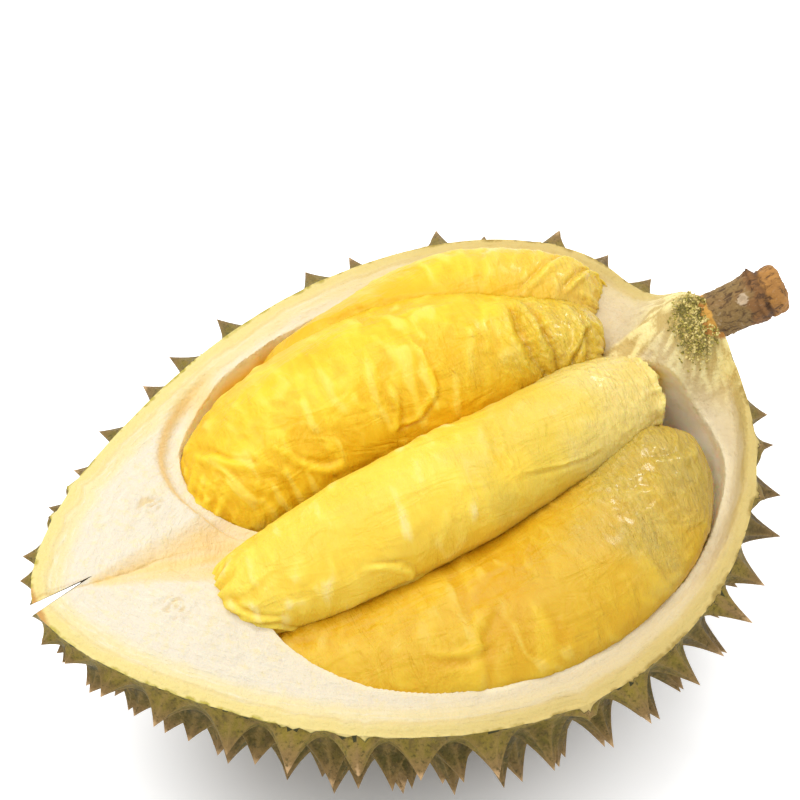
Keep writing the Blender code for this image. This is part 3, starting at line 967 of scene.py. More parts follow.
def husk_regions(mesh):
    """For each face: skin, cut pith or chamber lining, by the surface that it lies on."""
    points = coordinates(mesh)
    x, y, z = points.T
    drop = (cut_height(x, y) - lip_slope(x, y, cut_height(x, y))
            + RIDGE_HEIGHT * ridge_share(x, y) - z)
    depth = depth_under_skin(points)
    opened = np.maximum(0.0, (x - CLEFT_END) / (-TIP_LENGTH - CLEFT_END))
    off_cleft = np.abs(y - GROOVE_MIDDLE + CLEFT_LEAN * z + CLEFT_VEER * opened)
    on_cut = np.abs(drop) < CUT_SKIN
    on_wall = np.abs(off_cleft - 0.5 * CLEFT_GAP * opened) < CLEFT_SKIN
    in_cleft = (x < CLEFT_END + CLEFT_REACH) & on_wall
    lining = (drop > CUT_SKIN) & (depth > LINING_DEPTH) & ~in_cleft
    regions = np.full(len(mesh.polygons), SKIN)
    for face in mesh.polygons:
        corners = list(face.vertices)
        if on_cut[corners].all() or in_cleft[corners].all():
            regions[face.index] = PITH
        elif lining[corners].any() and (on_cut | lining)[corners].all():
            regions[face.index] = LINING
    return regions


def skin_finish(look):
    """Tough skin: dark between the spines as painted shade, pale along their ridges, dry at their tips.
    """
    made = Finish("husk_skin", Roughness=0.62, Specular_IOR_Level=0.2)
    rise = made.attribute("share")
    ridge = made.attribute("ridge")
    tone = made.attribute("tone")
    speck = made.grain(made.place, 0.0016, 4.0, 0.65)
    cloud = made.grain(made.place, 0.030, 2.0)
    dry = made.smooth(made.attribute("dry") + (cloud - 0.5) * 0.6 + (tone - 0.5) * 0.4, 0.2, 0.9)
    body = made.mix(made.smooth(cloud + tone * 0.6, 0.50, 1.05), look.green, look.olive)
    body = made.mix(dry, body, look.drab)
    # Painted shade: the skin turns near black towards the spines' feet, between them.
    body = made.mix(made.smooth(rise, 0.08, 0.60), look.valley, body)
    body = made.mix(made.attribute("flush") * (0.6 + 0.8 * (speck - 0.3)), body, look.flush)
    blotch = made.grain(made.place, 0.0045, 4.0, 0.65)
    body = made.mix(made.smooth(blotch, 0.46, 0.66) * 0.6, body, look.drab)
    body = made.mix(made.smooth(blotch, 0.42, 0.30) * 0.6, body, look.tan)
    edge = made.smooth(ridge + (speck - 0.5) * 0.5, 0.35, 1.0) * made.smooth(rise, 0.05, 0.30)
    body = made.mix(edge * 0.55, body, look.tan)
    tip_from = rise + (speck - 0.5) * 0.22 + (tone - 0.5) * 0.10
    body = made.mix(made.smooth(tip_from, 0.62, 0.94) * 0.8, body, look.tip)
    body = made.mix(made.smooth(tip_from, 0.91, 1.0) * 0.8, body, look.point)
    body = made.mix(made.smooth(speck, 0.52, 0.68) * 0.45, body, look.tan)
    body = made.mix(made.smooth(speck, 0.46, 0.32) * 0.6, body, look.valley)
    made.feed("Base Color", body)
    made.feed("Roughness", 0.50 + 0.25 * speck)
    made.bump((speck, 0.0007), (blotch, 0.0012))
    return made.material


def pith_finish(look):
    """Cut pith: yellow under the skin, a thin vein, then cream and white; torn by the stem, with
    painted shade between the mound's strands and over the rim towards the front and the stem.
    """
    made = Finish("husk_pith", Roughness=0.66, Subsurface_Weight=0.12, Subsurface_Scale=0.004,
                  Subsurface_Radius=(1.0, 0.7, 0.35), Specular_IOR_Level=0.3)
    depth = made.attribute("depth")
    rope = made.node("ShaderNodeCombineXYZ", {}, {0: made.attribute("around") * 0.10,
                                                  1: depth, 2: made.attribute("side")})
    fibre = made.grain(rope, 0.0016, 4.0, 0.6, 0.4)
    cloud = made.grain(made.place, 0.018, 3.0, 0.6)
    speck = made.grain(made.place, 0.0014, 4.0, 0.7)
    wander = depth + (cloud - 0.5) * 0.005 + (fibre - 0.5) * 0.0012
    tint = made.mix(made.smooth(wander, 0.0030, 0.0075), look.rind, look.cream)
    tint = made.mix(made.smooth(wander, 0.0085, 0.0150), tint, look.pith)
    tint = made.mix(made.smooth(fibre, 0.48, 0.72) * made.smooth(depth, 0.003, 0.007) * 0.6, tint,
                    look.fibre)
    tint = made.mix(made.smooth(cloud, 0.55, 0.80) * made.smooth(depth, 0.010, 0.016) * 0.5, tint,
                    look.cream)
    mottle = made.grain(made.place, 0.0042, 4.0, 0.7)
    tint = made.mix(made.smooth(mottle, 0.50, 0.66) * made.smooth(depth, 0.009, 0.015) * 0.5, tint,
                    look.cream)
    stain = made.smooth(made.attribute("scar") + (speck - 0.5) * 0.7, 0.42, 0.85)
    tint = made.mix(stain * 0.45, tint, look.vein)
    # Painted shade: the rim is tinted darker towards the front and the stem, a little unevenly along
    # its fibres.
    ripe = made.attribute("ripe") * (0.75 + 0.5 * (fibre - 0.5))
    tint = made.mix(ripe, tint, made.mix(made.smooth(wander, 0.0035, 0.0095), look.ripe,
                                         look.rim_shade_lip))
    tint = made.mix(made.smooth(made.attribute("lip"), 0.0045, 0.0), tint, look.lip)
    scoop = made.attribute("scoop")
    edge = made.smooth(scoop, 0.0, 0.35) * made.smooth(scoop, 1.0, 0.45)
    tint = made.mix(edge * 0.75, tint, look.groove)
    by_vein = depth + (cloud - 0.5) * 0.003
    along_vein = made.smooth(by_vein, 0.0046, 0.0056) * made.smooth(by_vein, 0.0068, 0.0058)
    tint = made.mix(along_vein * 0.22, tint, look.vein)
    tint = made.mix(made.attribute("warm") * (0.7 + 0.9 * (made.attribute("ray") - 0.3)), tint,
                    look.groove)
    seam = made.attribute("seam") + (cloud - 0.5) * 0.002 + (speck - 0.5) * 0.0006
    line = made.smooth(seam, -0.0009, 0.0) * made.smooth(seam, 0.0009, 0.0)
    tint = made.mix(line * 0.55, tint, look.vein)
    # Painted shade: darker between the mound's raised strands, whose noise matches their relief, mixed
    # with random specks and clouds.
    strand = made.attribute("strand") + (speck - 0.5) * 0.6 + (cloud - 0.5) * 0.5
    strand = made.smooth(strand, 0.30, 0.62)
    tint = made.mix(made.smooth(made.attribute("torn") + (cloud - 0.5) * 0.3, 0.15, 0.7) * 0.85, tint,
                    made.mix(strand, look.strand, look.mound))
    crumbly = made.smooth(made.attribute("crumbly") + (speck - 0.5) * 0.9, 0.30, 0.62)
    moss = made.mix(made.smooth(speck, 0.46, 0.60), look.moss, look.strand)
    tint = made.mix(crumbly * 0.9, tint, moss)
    tint = made.mix(made.smooth(made.attribute("foot") + (speck - 0.5) * 0.6, 0.35, 0.8), tint,
                    look.scab)
    tint = made.mix(made.smooth(made.attribute("brown") + (speck - 0.5) * 0.5, 0.3, 0.9) * 0.8, tint,
                    look.scab)
    # Painted shade: the pith's outer edge turns browner towards the front and the stem.
    edge_tint = made.mix(made.attribute("ripe"), look.edge, look.rim_shade_edge)
    tint = made.mix(made.smooth(wander + (speck - 0.5) * 0.0012, 0.0001, 0.0014), edge_tint, tint)
    tint = made.mix(made.smooth(depth, 0.0000, 0.0004), look.valley, tint)
    made.feed("Base Color", tint)
    made.bump((fibre, 0.0006), (made.grain(made.place, 0.0024, 4.0, 0.65), 0.0008))
    return made.material


def lining_finish(look):
    """The chambers' smooth walls: golden at the back, whitish by the lips and at the front."""
    made = Finish("husk_lining", Roughness=0.42, Subsurface_Weight=0.6, Subsurface_Scale=0.012,
                  Subsurface_Radius=(1.0, 0.6, 0.3), Specular_IOR_Level=0.35)
    cloud = made.grain(made.place, 0.03, 3.0, 0.6)
    streak = made.grain(made.stretched(made.place, (0.3, 1.0, 1.0)), 0.004, 4.0, 0.6)
    pale = made.smooth(made.attribute("pale") + (cloud - 0.5) * 0.35 + (streak - 0.5) * 0.2, 0.2, 0.8)
    tint = made.mix(pale, look.lining, look.wall)
    tint = made.mix(made.smooth(made.attribute("lip"), 0.0, 0.006), look.lip, tint)
    made.feed("Base Color", tint)
    made.bump((made.grain(made.place, 0.006, 4.0, 0.6), 0.0008), (streak, 0.0004))
    return made.material


def carry_over(before, after, names):
    """Gives each vertex the numbers of the nearest vertex of the mesh before it was cut."""
    tree = kdtree.KDTree(len(before.vertices))
    for vert in before.vertices:
        tree.insert(vert.co, vert.index)
    tree.balance()
    nearest = np.array([tree.find(vert.co)[1] for vert in after.vertices])
    for name in names:
        note(after, name, noted(before, name)[nearest])


LINE_STEP = 0.0003          # between the points that distances to a line are measured from


def distance_to_line(mesh, regions, beside, measured):
    """How far each vertex of the measured region lies from the line where two regions meet."""
    first, second = ({vert for face in mesh.polygons if regions[face.index] == region
                      for vert in face.vertices} for region in beside)
    shared = first & second
    on_line = [mesh.vertices[vert].co for vert in sorted(shared)]
    for edge in mesh.edges:
        start, end = edge.vertices
        if start in shared and end in shared:
            start, end = mesh.vertices[start].co, mesh.vertices[end].co
            steps = int((end - start).length / LINE_STEP)
            on_line += [start.lerp(end, (step + 1) / (steps + 1)) for step in range(steps)]
    tree = kdtree.KDTree(len(on_line))
    for number, point in enumerate(on_line):
        tree.insert(point, number)
    tree.balance()
    away = np.zeros(len(mesh.vertices))
    for vert in {vert for face in mesh.polygons if regions[face.index] in measured
                 for vert in face.vertices}:
        away[vert] = tree.find(mesh.vertices[vert].co)[2]
    return away


def note_pith(mesh, regions):
    """Notes what the finishes of the pith, the walls and the skin read."""
    points = coordinates(mesh)
    x, y, z = points.T
    note(mesh, "depth", distance_to_line(mesh, regions, (SKIN, PITH), (PITH,)))
    note(mesh, "lip", distance_to_line(mesh, regions, (PITH, LINING), (PITH, LINING)))
    near, marks = scar_marks(x, y)
    note(mesh, "scar", near * marks)
    note(mesh, "scoop", scoop_share(x, y, cut_height(x, y)))
    note(mesh, "around", cut_way(x, y))
    note(mesh, "side", y * SIDE_SHIFT)
    # Painted shade: 1 towards the front and the stem, where the rim is tinted darker.
    note(mesh, "ripe", eased(x - 0.35 * y, -0.10, 0.055))
    note(mesh, "warm", groove_share(x, y))
    note(mesh, "seam", seam_offset(x, y))
    note(mesh, "ray", 0.5 + 0.5 * groove_rays(x, y))
    note(mesh, "crumbly", crumb_share(x, y) * eased(cut_height(x, y) - z, 0.010, 0.005))
    foot = np.array(STEM_LINE[1])
    way = np.array(STEM_LINE[2]) - foot
    way /= np.linalg.norm(way)
    from_axis = np.linalg.norm(np.cross(points - foot, way), axis=1)
    note(mesh, "foot", eased(from_axis, STEM_RADII[0] + 0.0035, STEM_RADII[0]) * (x > 0.108))
    gap_line = GROOVE_MIDDLE - CLEFT_LEAN * z
    note(mesh, "brown", np.maximum(eased(x, -0.1665, -0.1712),
                                   0.5 * eased(np.abs(y - gap_line), 0.0016, 0.0004)
                                   * eased(x, -0.140, -0.150)))
    note(mesh, "pale", np.maximum(eased(x, -0.050, -0.092), eased(y, 0.012, -0.012)))
    note(mesh, "dry", eased(x, 0.02, 0.11) * eased(z, -0.09, -0.02))
    note(mesh, "flush", eased(cut_height(x, y) - z, FLUSH_REACH, 0.0))
    torn, strands = torn_strands(x, y)
    note(mesh, "torn", torn)
    # the same noise as the strands' relief, for the painted shade between them
    note(mesh, "strand", 0.5 + 0.5 * lumps(strands, 0.0014, 12))


CRUMB_DENSITY = 1.6e6       # torn bits on a square metre, where it is wholly crumbly
CRUMB_FROM = 0.30           # and how crumbly it has to be for any


def crumb_tree():
    """Scatters small lumpy bits where the mound is crumbly."""
    weave, given = geometry_tree("scatter_crumbs", ("Size", "Seed"))
    amount = named(weave, "crumbly") - CRUMB_FROM
    points = weave.node("GeometryNodeDistributePointsOnFaces", {}, {
        "Mesh": given["Geometry"], "Seed": given["Seed"],
        "Density": amount.maths("MAXIMUM", amount, 0.0) * CRUMB_DENSITY})
    cube = weave.node("GeometryNodeMeshCube", {}, {"Vertices X": 3, "Vertices Y": 3, "Vertices Z": 3})
    place = weave.node("GeometryNodeInputPosition")
    ball = weave.node("ShaderNodeVectorMath", {"operation": "NORMALIZE"}, {0: place})
    rough = weave.node("ShaderNodeTexNoise", {"noise_dimensions": "3D"}, {
        "Vector": ball, "Scale": 1.3, "Detail": 1.0}, output="Fac")
    lumpy = weave.scaled(ball, 0.25 + 0.75 * rough)
    crumb = weave.node("GeometryNodeSetPosition", {}, {"Geometry": cube, "Position": lumpy})
    shape = weave.node("FunctionNodeRandomValue", {"data_type": "FLOAT_VECTOR"}, {
        "Min": (0.3, 0.3, 0.3), "Max": (1.6, 1.3, 1.0), "Seed": 3}, output="Value")
    size = weave.scaled(shape, given["Size"])
    turn = weave.node("FunctionNodeRandomValue", {"data_type": "FLOAT_VECTOR"}, {
        "Max": (6.28, 6.28, 6.28), "Seed": 5}, output="Value")
    scattered = weave.node("GeometryNodeInstanceOnPoints", {}, {
        "Points": points, "Instance": crumb, "Rotation": turn, "Scale": size})
    end_tree(weave, scattered, given["Material"])
    return weave


def crumb_finish(look):
    """Bits of torn rind and pith, green, brown and cream."""
    made = Finish("torn_bits", Roughness=0.75)
    speck = made.grain(made.place, 0.0022, 3.0, 0.6)
    tint = made.mix(made.smooth(speck, 0.40, 0.50), look.moss, look.edge)
    tint = made.mix(made.smooth(speck, 0.48, 0.60), tint, look.rind)
    made.feed("Base Color", tint)
    made.bump((made.grain(made.place, 0.0006, 3.0, 0.6), 0.0002),)
    return made.material


HUSK_SHARP = math.radians(42)       # edges of the husk that turn more than this stay sharp


class DURIAN_OT_husk(bpy.types.Operator):
    """Spiny husk, opened with its pith and two chambers"""
    bl_idname = "durian.husk"
    bl_label = "Husk"

    def execute(self, context):
        look = settings().husk
        skin = skin_finish(look)
        husk = spiny_skin(look, skin)
        uncut = husk.data.copy()
        hollows = [hollow(number, *chamber) for number, chamber in enumerate(CHAMBERS)]
        carved(husk, [opening_block(look), *hollows, cleft_wedge(), table_slab()])
        mesh = husk.data
        drop_scraps(mesh)
        regions = husk_regions(mesh)
        soften_lips(mesh, regions)
        carry_over(uncut, mesh, ("share", "ridge", "tone"))
        note_pith(mesh, regions)
        mesh.materials.clear()
        for material in (skin, pith_finish(look), lining_finish(look)):
            mesh.materials.append(material)
        mesh.polygons.foreach_set("material_index", regions)
        finished(husk, "husk", HUSK_SHARP)
        self.crumbs(husk.data, look)
        return {"FINISHED"}

    def crumbs(self, husk, look):
        """Small torn bits scattered over the mound by the stem."""
        ground = placed("torn_crumbs", husk.copy())
        run_tree(ground, crumb_tree(), {"Size": look.crumb, "Seed": SPINE_SEED,
                                        "Material": crumb_finish(look)})
        ground.data.polygons.foreach_set("use_smooth", [True] * len(ground.data.polygons))
        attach(ground, "root")


# ---------------------------------------------------------------- pods
class Pod:
    """A flesh pod: a soft sausage along a curve, with its own width, thickness and bluntness.

    Slack is how loosely its skin lies. A fold runs between two places, each a share of the way
    along and an angle round in degrees, bowed sideways, with its width and height.
    """

    def __init__(self, name, path, width, thickness, blunt, swell=(), seed=0, slack=1.0, folds=(),
                 crinkle=0.0, gathered=1.0):
        self.name, self.seed, self.slack, self.folds = name, seed, slack, folds
        self.crinkle, self.gathered = crinkle, gathered
        self.path = np.array(path)
        self.width, self.thickness, self.blunt, self.swell = width, thickness, blunt, swell

    def surface(self, part, angle):
        """Points at these shares of the way along, and at these angles round."""
        along = -np.cos(math.pi * part)
        t = (0.5 + 0.5 * along)[:, None]
        s = 1.0 - t
        a, b, c, d = self.path
        centre = a * s ** 3 + b * (3 * s * s * t) + c * (3 * s * t * t) + d * t ** 3
        ahead = (b - a) * s * s + (c - b) * (2 * s * t) + (d - c) * t * t
        ahead /= np.linalg.norm(ahead, axis=1)[:, None]
        side = np.cross((0.0, 0.0, 1.0), ahead)
        side /= np.linalg.norm(side, axis=1)[:, None]
        above = np.cross(ahead, side)
        fullness = np.maximum(0.0, 1.0 - along * along) ** (0.5 * self.blunt)
        for place, reach, amount in self.swell:
            fullness = fullness * (1.0 + amount * np.exp(-((t[:, 0] - place) / reach) ** 2))
        reach_side = (0.5 * self.width * fullness * np.cos(angle))[:, None]
        reach_up = (0.5 * self.thickness * fullness * np.sin(angle))[:, None]
        return held_inside(centre + side * reach_side + above * reach_up), t[:, 0]


PODS = (
    Pod("pod_back", [(-0.062, 0.052, -0.034), (0.000, 0.088, -0.016),
                     (0.058, 0.077, -0.010), (0.089, 0.047, -0.012)],
        width=0.050, thickness=0.056, blunt=0.6, seed=21, slack=0.75,
        folds=[((0.76, 130), (0.89, 62), 0.002, 0.0022, 0.0014),
               ((0.90, 120), (0.96, 60), 0.001, 0.0020, 0.0016),
               ((0.66, 125), (0.70, 70), -0.002, 0.0030, 0.0008)]),
    Pod("pod_left", [(-0.095, 0.030, -0.036), (-0.050, 0.062, -0.024),
                     (0.036, 0.051, -0.006), (0.077, 0.024, -0.010)],
        width=0.068, thickness=0.070, blunt=0.58,
        swell=[(0.2, 0.2, 0.08), (0.85, 0.16, -0.2)], seed=22, slack=1.0,
        folds=[((0.57, 96), (0.47, 152), -0.014, 0.0014, 0.0013),
               ((0.50, 126), (0.47, 156), -0.002, 0.0013, 0.0012),
               ((0.765, 78), (0.82, 158), 0.003, 0.0034, 0.0034),
               ((0.80, 74), (0.86, 158), -0.001, 0.0026, 0.0032),
               ((0.90, 70), (0.93, 160), -0.004, 0.0026, 0.0022),
               ((0.955, 92), (0.90, 146), 0.0, 0.0016, 0.0020),
               ((0.22, 118), (0.33, 156), 0.004, 0.0016, 0.0011),
               ((0.10, 60), (0.16, 120), 0.003, 0.0018, 0.0012)],
        crinkle=0.0013),
    Pod("pod_centre", [(-0.105, -0.014, -0.024), (-0.050, -0.022, -0.004),
                       (0.040, -0.004, -0.010), (0.088, 0.001, -0.012)],
        width=0.052, thickness=0.049, blunt=0.5, swell=[(0.62, 0.08, -0.06)], seed=23, slack=0.62,
        folds=[((0.595, 70), (0.56, 128), 0.001, 0.0015, -0.0015),
               ((0.58, 140), (0.75, 156), 0.002, 0.0013, -0.0007),
               ((0.27, 150), (0.345, 192), -0.004, 0.0016, 0.0013),
               ((0.965, 60), (0.93, 175), -0.002, 0.0010, 0.0026),
               ((0.05, 205), (0.36, 200), 0.0, 0.0022, 0.0022),
               ((0.03, 120), (0.10, 165), 0.003, 0.0014, 0.0012),
               ((0.02, 150), (0.12, 195), -0.002, 0.0012, 0.0012),
               ((0.80, 60), (0.88, 110), 0.002, 0.0018, 0.0007)],
        crinkle=0.0005, gathered=1.7),
    Pod("pod_front", [(-0.104, -0.026, -0.040), (-0.036, -0.066, -0.060),
                      (0.050, -0.073, -0.042), (0.078, -0.014, -0.016)],
        width=0.082, thickness=0.068, blunt=0.6, swell=[(0.9, 0.15, -0.08)], seed=24, slack=0.72,
        folds=[((0.42, 98), (0.36, 145), 0.003, 0.0024, 0.0012),
               ((0.50, 108), (0.46, 150), -0.002, 0.0026, 0.0009),
               ((0.30, 120), (0.40, 122), 0.002, 0.0015, -0.0010),
               ((0.73, 120), (0.70, 152), 0.002, 0.0018, 0.0012),
               ((0.90, 95), (0.97, 150), 0.002, 0.0020, 0.0012)],
        crinkle=0.0008),
)
POD_RINGS = 250
POD_SEGMENTS = 230
POD_SHARP = math.radians(60)
POD_SINK = 1.2              # how far the skin's relief starts under the plain pod, in wrinkles
CRINKLE_AT = 0.82           # share of the way along where the skin is drawn together
CRINKLE_REACH = 0.055
POD_SPAN = 0.19             # a pod's length, and its radius, for patterns laid on its skin
POD_GIRTH = 0.028
PRESSED_BY = {              # the pod on top, and how far the skin is drawn up to it
    "pod_back": ("pod_left", 0.0045),
    "pod_left": ("pod_centre", 0.0012),
    "pod_front": ("pod_centre", 0.0),
}
PRESS_GAP = -0.0001         # the soft skins touch
CLING_REACH = 0.012
CLING_FADE = (0.035, -0.005)    # along the fruit, where the skins part and where they cling


def fold_relief(pod, t, angle):
    """Height of the pod's own folds: each is a soft ridge with a crease along one side."""
    here = np.stack((t * POD_SPAN, angle * POD_GIRTH), axis=1)
    wander = 0.0012 * lumps(np.column_stack((here, np.zeros(len(t)))), 0.008, pod.seed + 9)
    total = np.zeros(len(t))
    for (t_start, turn_start), (t_end, turn_end), bow, width, height in pod.folds:
        start = np.array((t_start * POD_SPAN, math.radians(turn_start) * POD_GIRTH))
        way = np.array((t_end * POD_SPAN, math.radians(turn_end) * POD_GIRTH)) - start
        size = math.hypot(*way)
        ahead = way / size
        run = (here - start) @ ahead / size
        on_line = np.clip(run, 0.0, 1.0)
        off = (here - start) @ np.array((-ahead[1], ahead[0])) - bow * 4.0 * on_line * (1 - on_line)
        off = off + wander
        past_end = (run - on_line) * size / width
        ridge = np.exp(-(off / width) ** 2)
        crease = np.exp(-((off + 1.6 * width) / (0.6 * width)) ** 2)
        fade = np.exp(-past_end ** 2) * (0.25 + 0.75 * np.sqrt(4.0 * on_line * (1 - on_line)))
        total += height * (ridge - 0.75 * crease) * fade
    return total


def skin_relief(pod, look, t, angle):
    """Height of the skin over the smooth pod: swellings, wrinkles round it, gathers at its ends."""
    on_pod = np.stack((t * POD_SPAN, pod.width * 0.5 * np.cos(angle),
                       pod.thickness * 0.5 * np.sin(angle)), axis=1)
    swirl = 0.0045 * lumps(on_pod, 0.016, pod.seed + 2)
    across = on_pod * np.array((1.0, 0.30, 0.30)) + swirl[:, None]
    along = on_pod * np.array((0.22, 1.0, 1.0)) + swirl[:, None]
    loose = pod.slack * (0.55 + 0.9 * eased(lumps(on_pod, 0.030, pod.seed + 6), -0.35, 0.55))
    veins = creases(across, 0.0085, pod.seed + 3, 5.0) - 0.35
    short = on_pod * np.array((1.0, 0.36, 0.36)) + 0.5 * swirl[:, None]
    strokes = np.maximum(0.0, lumps(short, 0.0046, pod.seed + 8)) ** 1.2
    soft = lumps(across, 0.006, pod.seed + 1)
    fine = creases(across, 0.0034, pod.seed + 4, 3.0) - 0.5
    gathers = lumps(along, 0.0055, pod.seed + 5)
    ends = np.exp(-(t / 0.09) ** 2) + 0.8 * np.exp(-((1.0 - t) / 0.10) ** 2)
    waves = 2.4 * lumps(on_pod, 0.034, pod.seed) + 0.8 * lumps(on_pod, 0.015, pod.seed + 7)
    detail = (loose * (0.35 * veins + 0.6 * soft + 0.35 * fine + 2.0 * strokes)
              + pod.gathered * ends * (1.9 * gathers + 0.5 * veins))
    curls = np.exp(-((t - CRINKLE_AT) / CRINKLE_REACH) ** 2)
    curls = curls * creases(on_pod, 0.0042, pod.seed + 10, 2.0)
    folds = fold_relief(pod, t, angle) + pod.crinkle * curls
    height = (waves + detail) * look.wrinkle + folds
    # lift: how far the skin stands up or sinks, which the flesh finish paints as light on the raised
    # skin and shade in the hollows.
    lift = np.tanh(0.2 * waves + 1.1 * (detail - 0.25) + 0.6 * folds / look.wrinkle)
    return height, lift, 1.6 * strokes * loose


def pod_mesh(pod, look):
    """The pod with its skin's relief, and what its finish reads."""
    part, angle, faces = closed_grid(POD_RINGS, POD_SEGMENTS)
    points, t = pod.surface(part, angle)
    mesh = facing_out(mesh_from(pod.name, points, faces))
    height, lift, veins = skin_relief(pod, look, t, angle)
    # The painted light and shade follow the relief: lift for shade in the hollows, vein for a highlight
    # on the raised strokes.
    note(mesh, "lift", lift)
    note(mesh, "vein", np.clip(veins, 0.0, 1.0))
    note(mesh, "run", t)
    note(mesh, "close", np.zeros(len(t)))
    move_to(mesh, points + normals(mesh) * (height - POD_SINK * look.wrinkle)[:, None])
    return mesh


def drawn_up(mesh, upper, rise):
    """Lifts the skin round the upper pod, as it clings to it, so that no dark crack is left, and notes
    how close it lies, for the flesh's painted shade.
    """
    tree = bvhtree.BVHTree.FromPolygons([v.co for v in upper.vertices],
                                        [f.vertices for f in upper.polygons])
    points = coordinates(mesh)
    gaps = [tree.find_nearest(Vector(point), CLING_REACH)[3] for point in points]
    close = np.array([0.0 if gap is None else 1.0 - gap / CLING_REACH for gap in gaps])
    # How near the upper pod lies: the flesh finish paints shade there.
    note(mesh, "close", close)
    clings = 0.3 + 0.7 * eased(points[:, 0], *CLING_FADE)
    move_to(mesh, points + normals(mesh) * (rise * clings * close ** 2)[:, None])


def room_for(upper):
    """The shape of the pod that lies on top, with the gap between them."""
    mesh = upper.copy()
    move_to(mesh, coordinates(mesh) + normals(mesh) * PRESS_GAP)
    return placed("room", mesh)


# How each pod's flesh differs: its tint, how strong its creases and its deep flesh (painted shade)
# show, the colour of its damp skin by the stem and how much of it shows, how wet that is, and how dull
# its middle; both are partly painted shade.
FLESH_KINDS = {
    "pod_back": {"tint": (0.97, 0.96, 1.0), "creased": 0.3, "relief_shade_strength": 0.7,
                 "damp_and_shaded_skin": (0.78, 0.60, 0.15), "damp_end": 0.3, "wet": 0.7, "dull_and_shaded": 0.0},
    "pod_left": {"tint": (0.97, 0.95, 0.8), "creased": 0.5, "relief_shade_strength": 0.75,
                 "damp_and_shaded_skin": (0.68, 0.50, 0.07), "damp_end": 0.6, "wet": 1.0, "dull_and_shaded": 0.0},
    "pod_centre": {"tint": (0.98, 1.03, 2.4), "creased": 0.3, "relief_shade_strength": 0.5,
                   "damp_and_shaded_skin": (0.84, 0.70, 0.32), "damp_end": 0.55, "wet": 0.7, "dull_and_shaded": 0.7},
    "pod_front": {"tint": (0.81, 0.74, 0.75), "creased": 0.5, "relief_shade_strength": 0.85,
                  "damp_and_shaded_skin": (0.58, 0.43, 0.08), "damp_end": 0.8, "wet": 1.0, "dull_and_shaded": 0.3},
}


def flesh_finish(name, look, tint, creased, relief_shade_strength, damp_and_shaded_skin, damp_end, wet, dull_and_shaded):
    """Soft flesh: painted shade in its creases and hollows and under the pod on top, a painted
    highlight on its ridges, wet towards the stem, where its darker colour is partly painted shade.
    """
    def tinted(base):
        return tuple(min(1.0, c * t) for c, t in zip(base, tint))
    made = Finish(name, Roughness=0.45, Subsurface_Weight=0.25, Subsurface_Scale=0.006,
                  Subsurface_Radius=(1.0, 0.6, 0.12), Coat_Roughness=0.16, Specular_IOR_Level=0.35)
    lift = made.attribute("lift")
    run = made.attribute("run")
    long_way = made.stretched(made.place, (0.35, 1.0, 1.0), (0.0, 0.0, 0.35))
    cross_way = made.stretched(made.place, (1.0, 0.30, 0.30), (0.0, 0.0, 0.25))
    streak = made.grain(cross_way, 0.0045, 5.0, 0.62, 0.9)
    cloud = made.grain(made.place, 0.028, 3.0, 0.55)
    # Painted shade and light: deep flesh where the skin sinks, bright where it stands up, mixed with
    # random mottling.
    painted_relief_light = made.smooth(lift * 0.6 + (cloud - 0.5) * 0.7 + (streak - 0.5) * 0.8, -0.50, 0.40)
    base = made.mix(1.0 - relief_shade_strength * (1.0 - painted_relief_light), tinted(look.deep), tinted(look.bright))
    rough = made.smooth(made.grain(made.place, 0.020, 2.0, 0.5), 0.40, 0.58)
    wrinkle = made.grain(made.stretched(made.place, (1.0, 0.42, 0.42), (0.0, 0.0, 0.25)), 0.0085,
                         3.0, 0.55, 0.5)
    crease = made.lines(wrinkle, 0.13) * (0.3 + 0.7 * rough) * creased
    # Painted highlight: pale skin over the raised strokes, mixed with random streaks and clouds.
    pale = made.smooth(made.attribute("vein") * 0.7 + (streak - 0.45) * 0.9
                       + (cloud - 0.5) * 0.8, 0.15, 0.75)
    base = made.mix(pale * 0.6, base, tinted(look.pale))
    # A duller patch past the middle: partly painted shade where the light falls off towards the stem.
    patch = run + (cloud - 0.5) * 0.5
    patch = made.smooth(patch, 0.50, 0.60) * made.smooth(patch, 0.92, 0.76)
    base = made.mix(patch * dull_and_shaded, base, tinted(look.dull_and_shaded))
    # Painted shade: deep flesh where another pod lies close on top.
    painted_contact_shade = made.smooth(made.attribute("close") + (cloud - 0.5) * 0.5, 0.15, 1.0)
    base = made.mix(painted_contact_shade * 0.8, base, tinted(look.deep))
    # Damp skin towards the stem: wet and glossy, and its darker colour is partly painted shade where
    # the light falls off.
    damp = made.smooth(run + (cloud - 0.5) * 0.5, 0.62, 0.92)
    base = made.mix(damp * damp_end, base, damp_and_shaded_skin)
    # Painted shade along the crease lines.
    base = made.mix(crease * 0.22, base, tinted(look.deep))
    made.feed("Base Color", base)
    made.feed("Roughness", 0.46 - 0.16 * damp + 0.16 * (streak - 0.5))
    made.feed("Coat Weight", wet * damp * made.smooth(streak, 0.35, 0.6))
    fine = made.grain(cross_way, 0.0015, 4.0, 0.6, 0.6)
    soft = made.grain(long_way, 0.009, 3.0, 0.55, 1.0)
    made.bump((soft, 0.0014), (1 - crease, 0.0005), (streak * (0.35 + 0.65 * rough), 0.0009),
              (fine * (0.10 + 0.20 * rough + 1.6 * wet * damp), 0.0011))
    return made.material


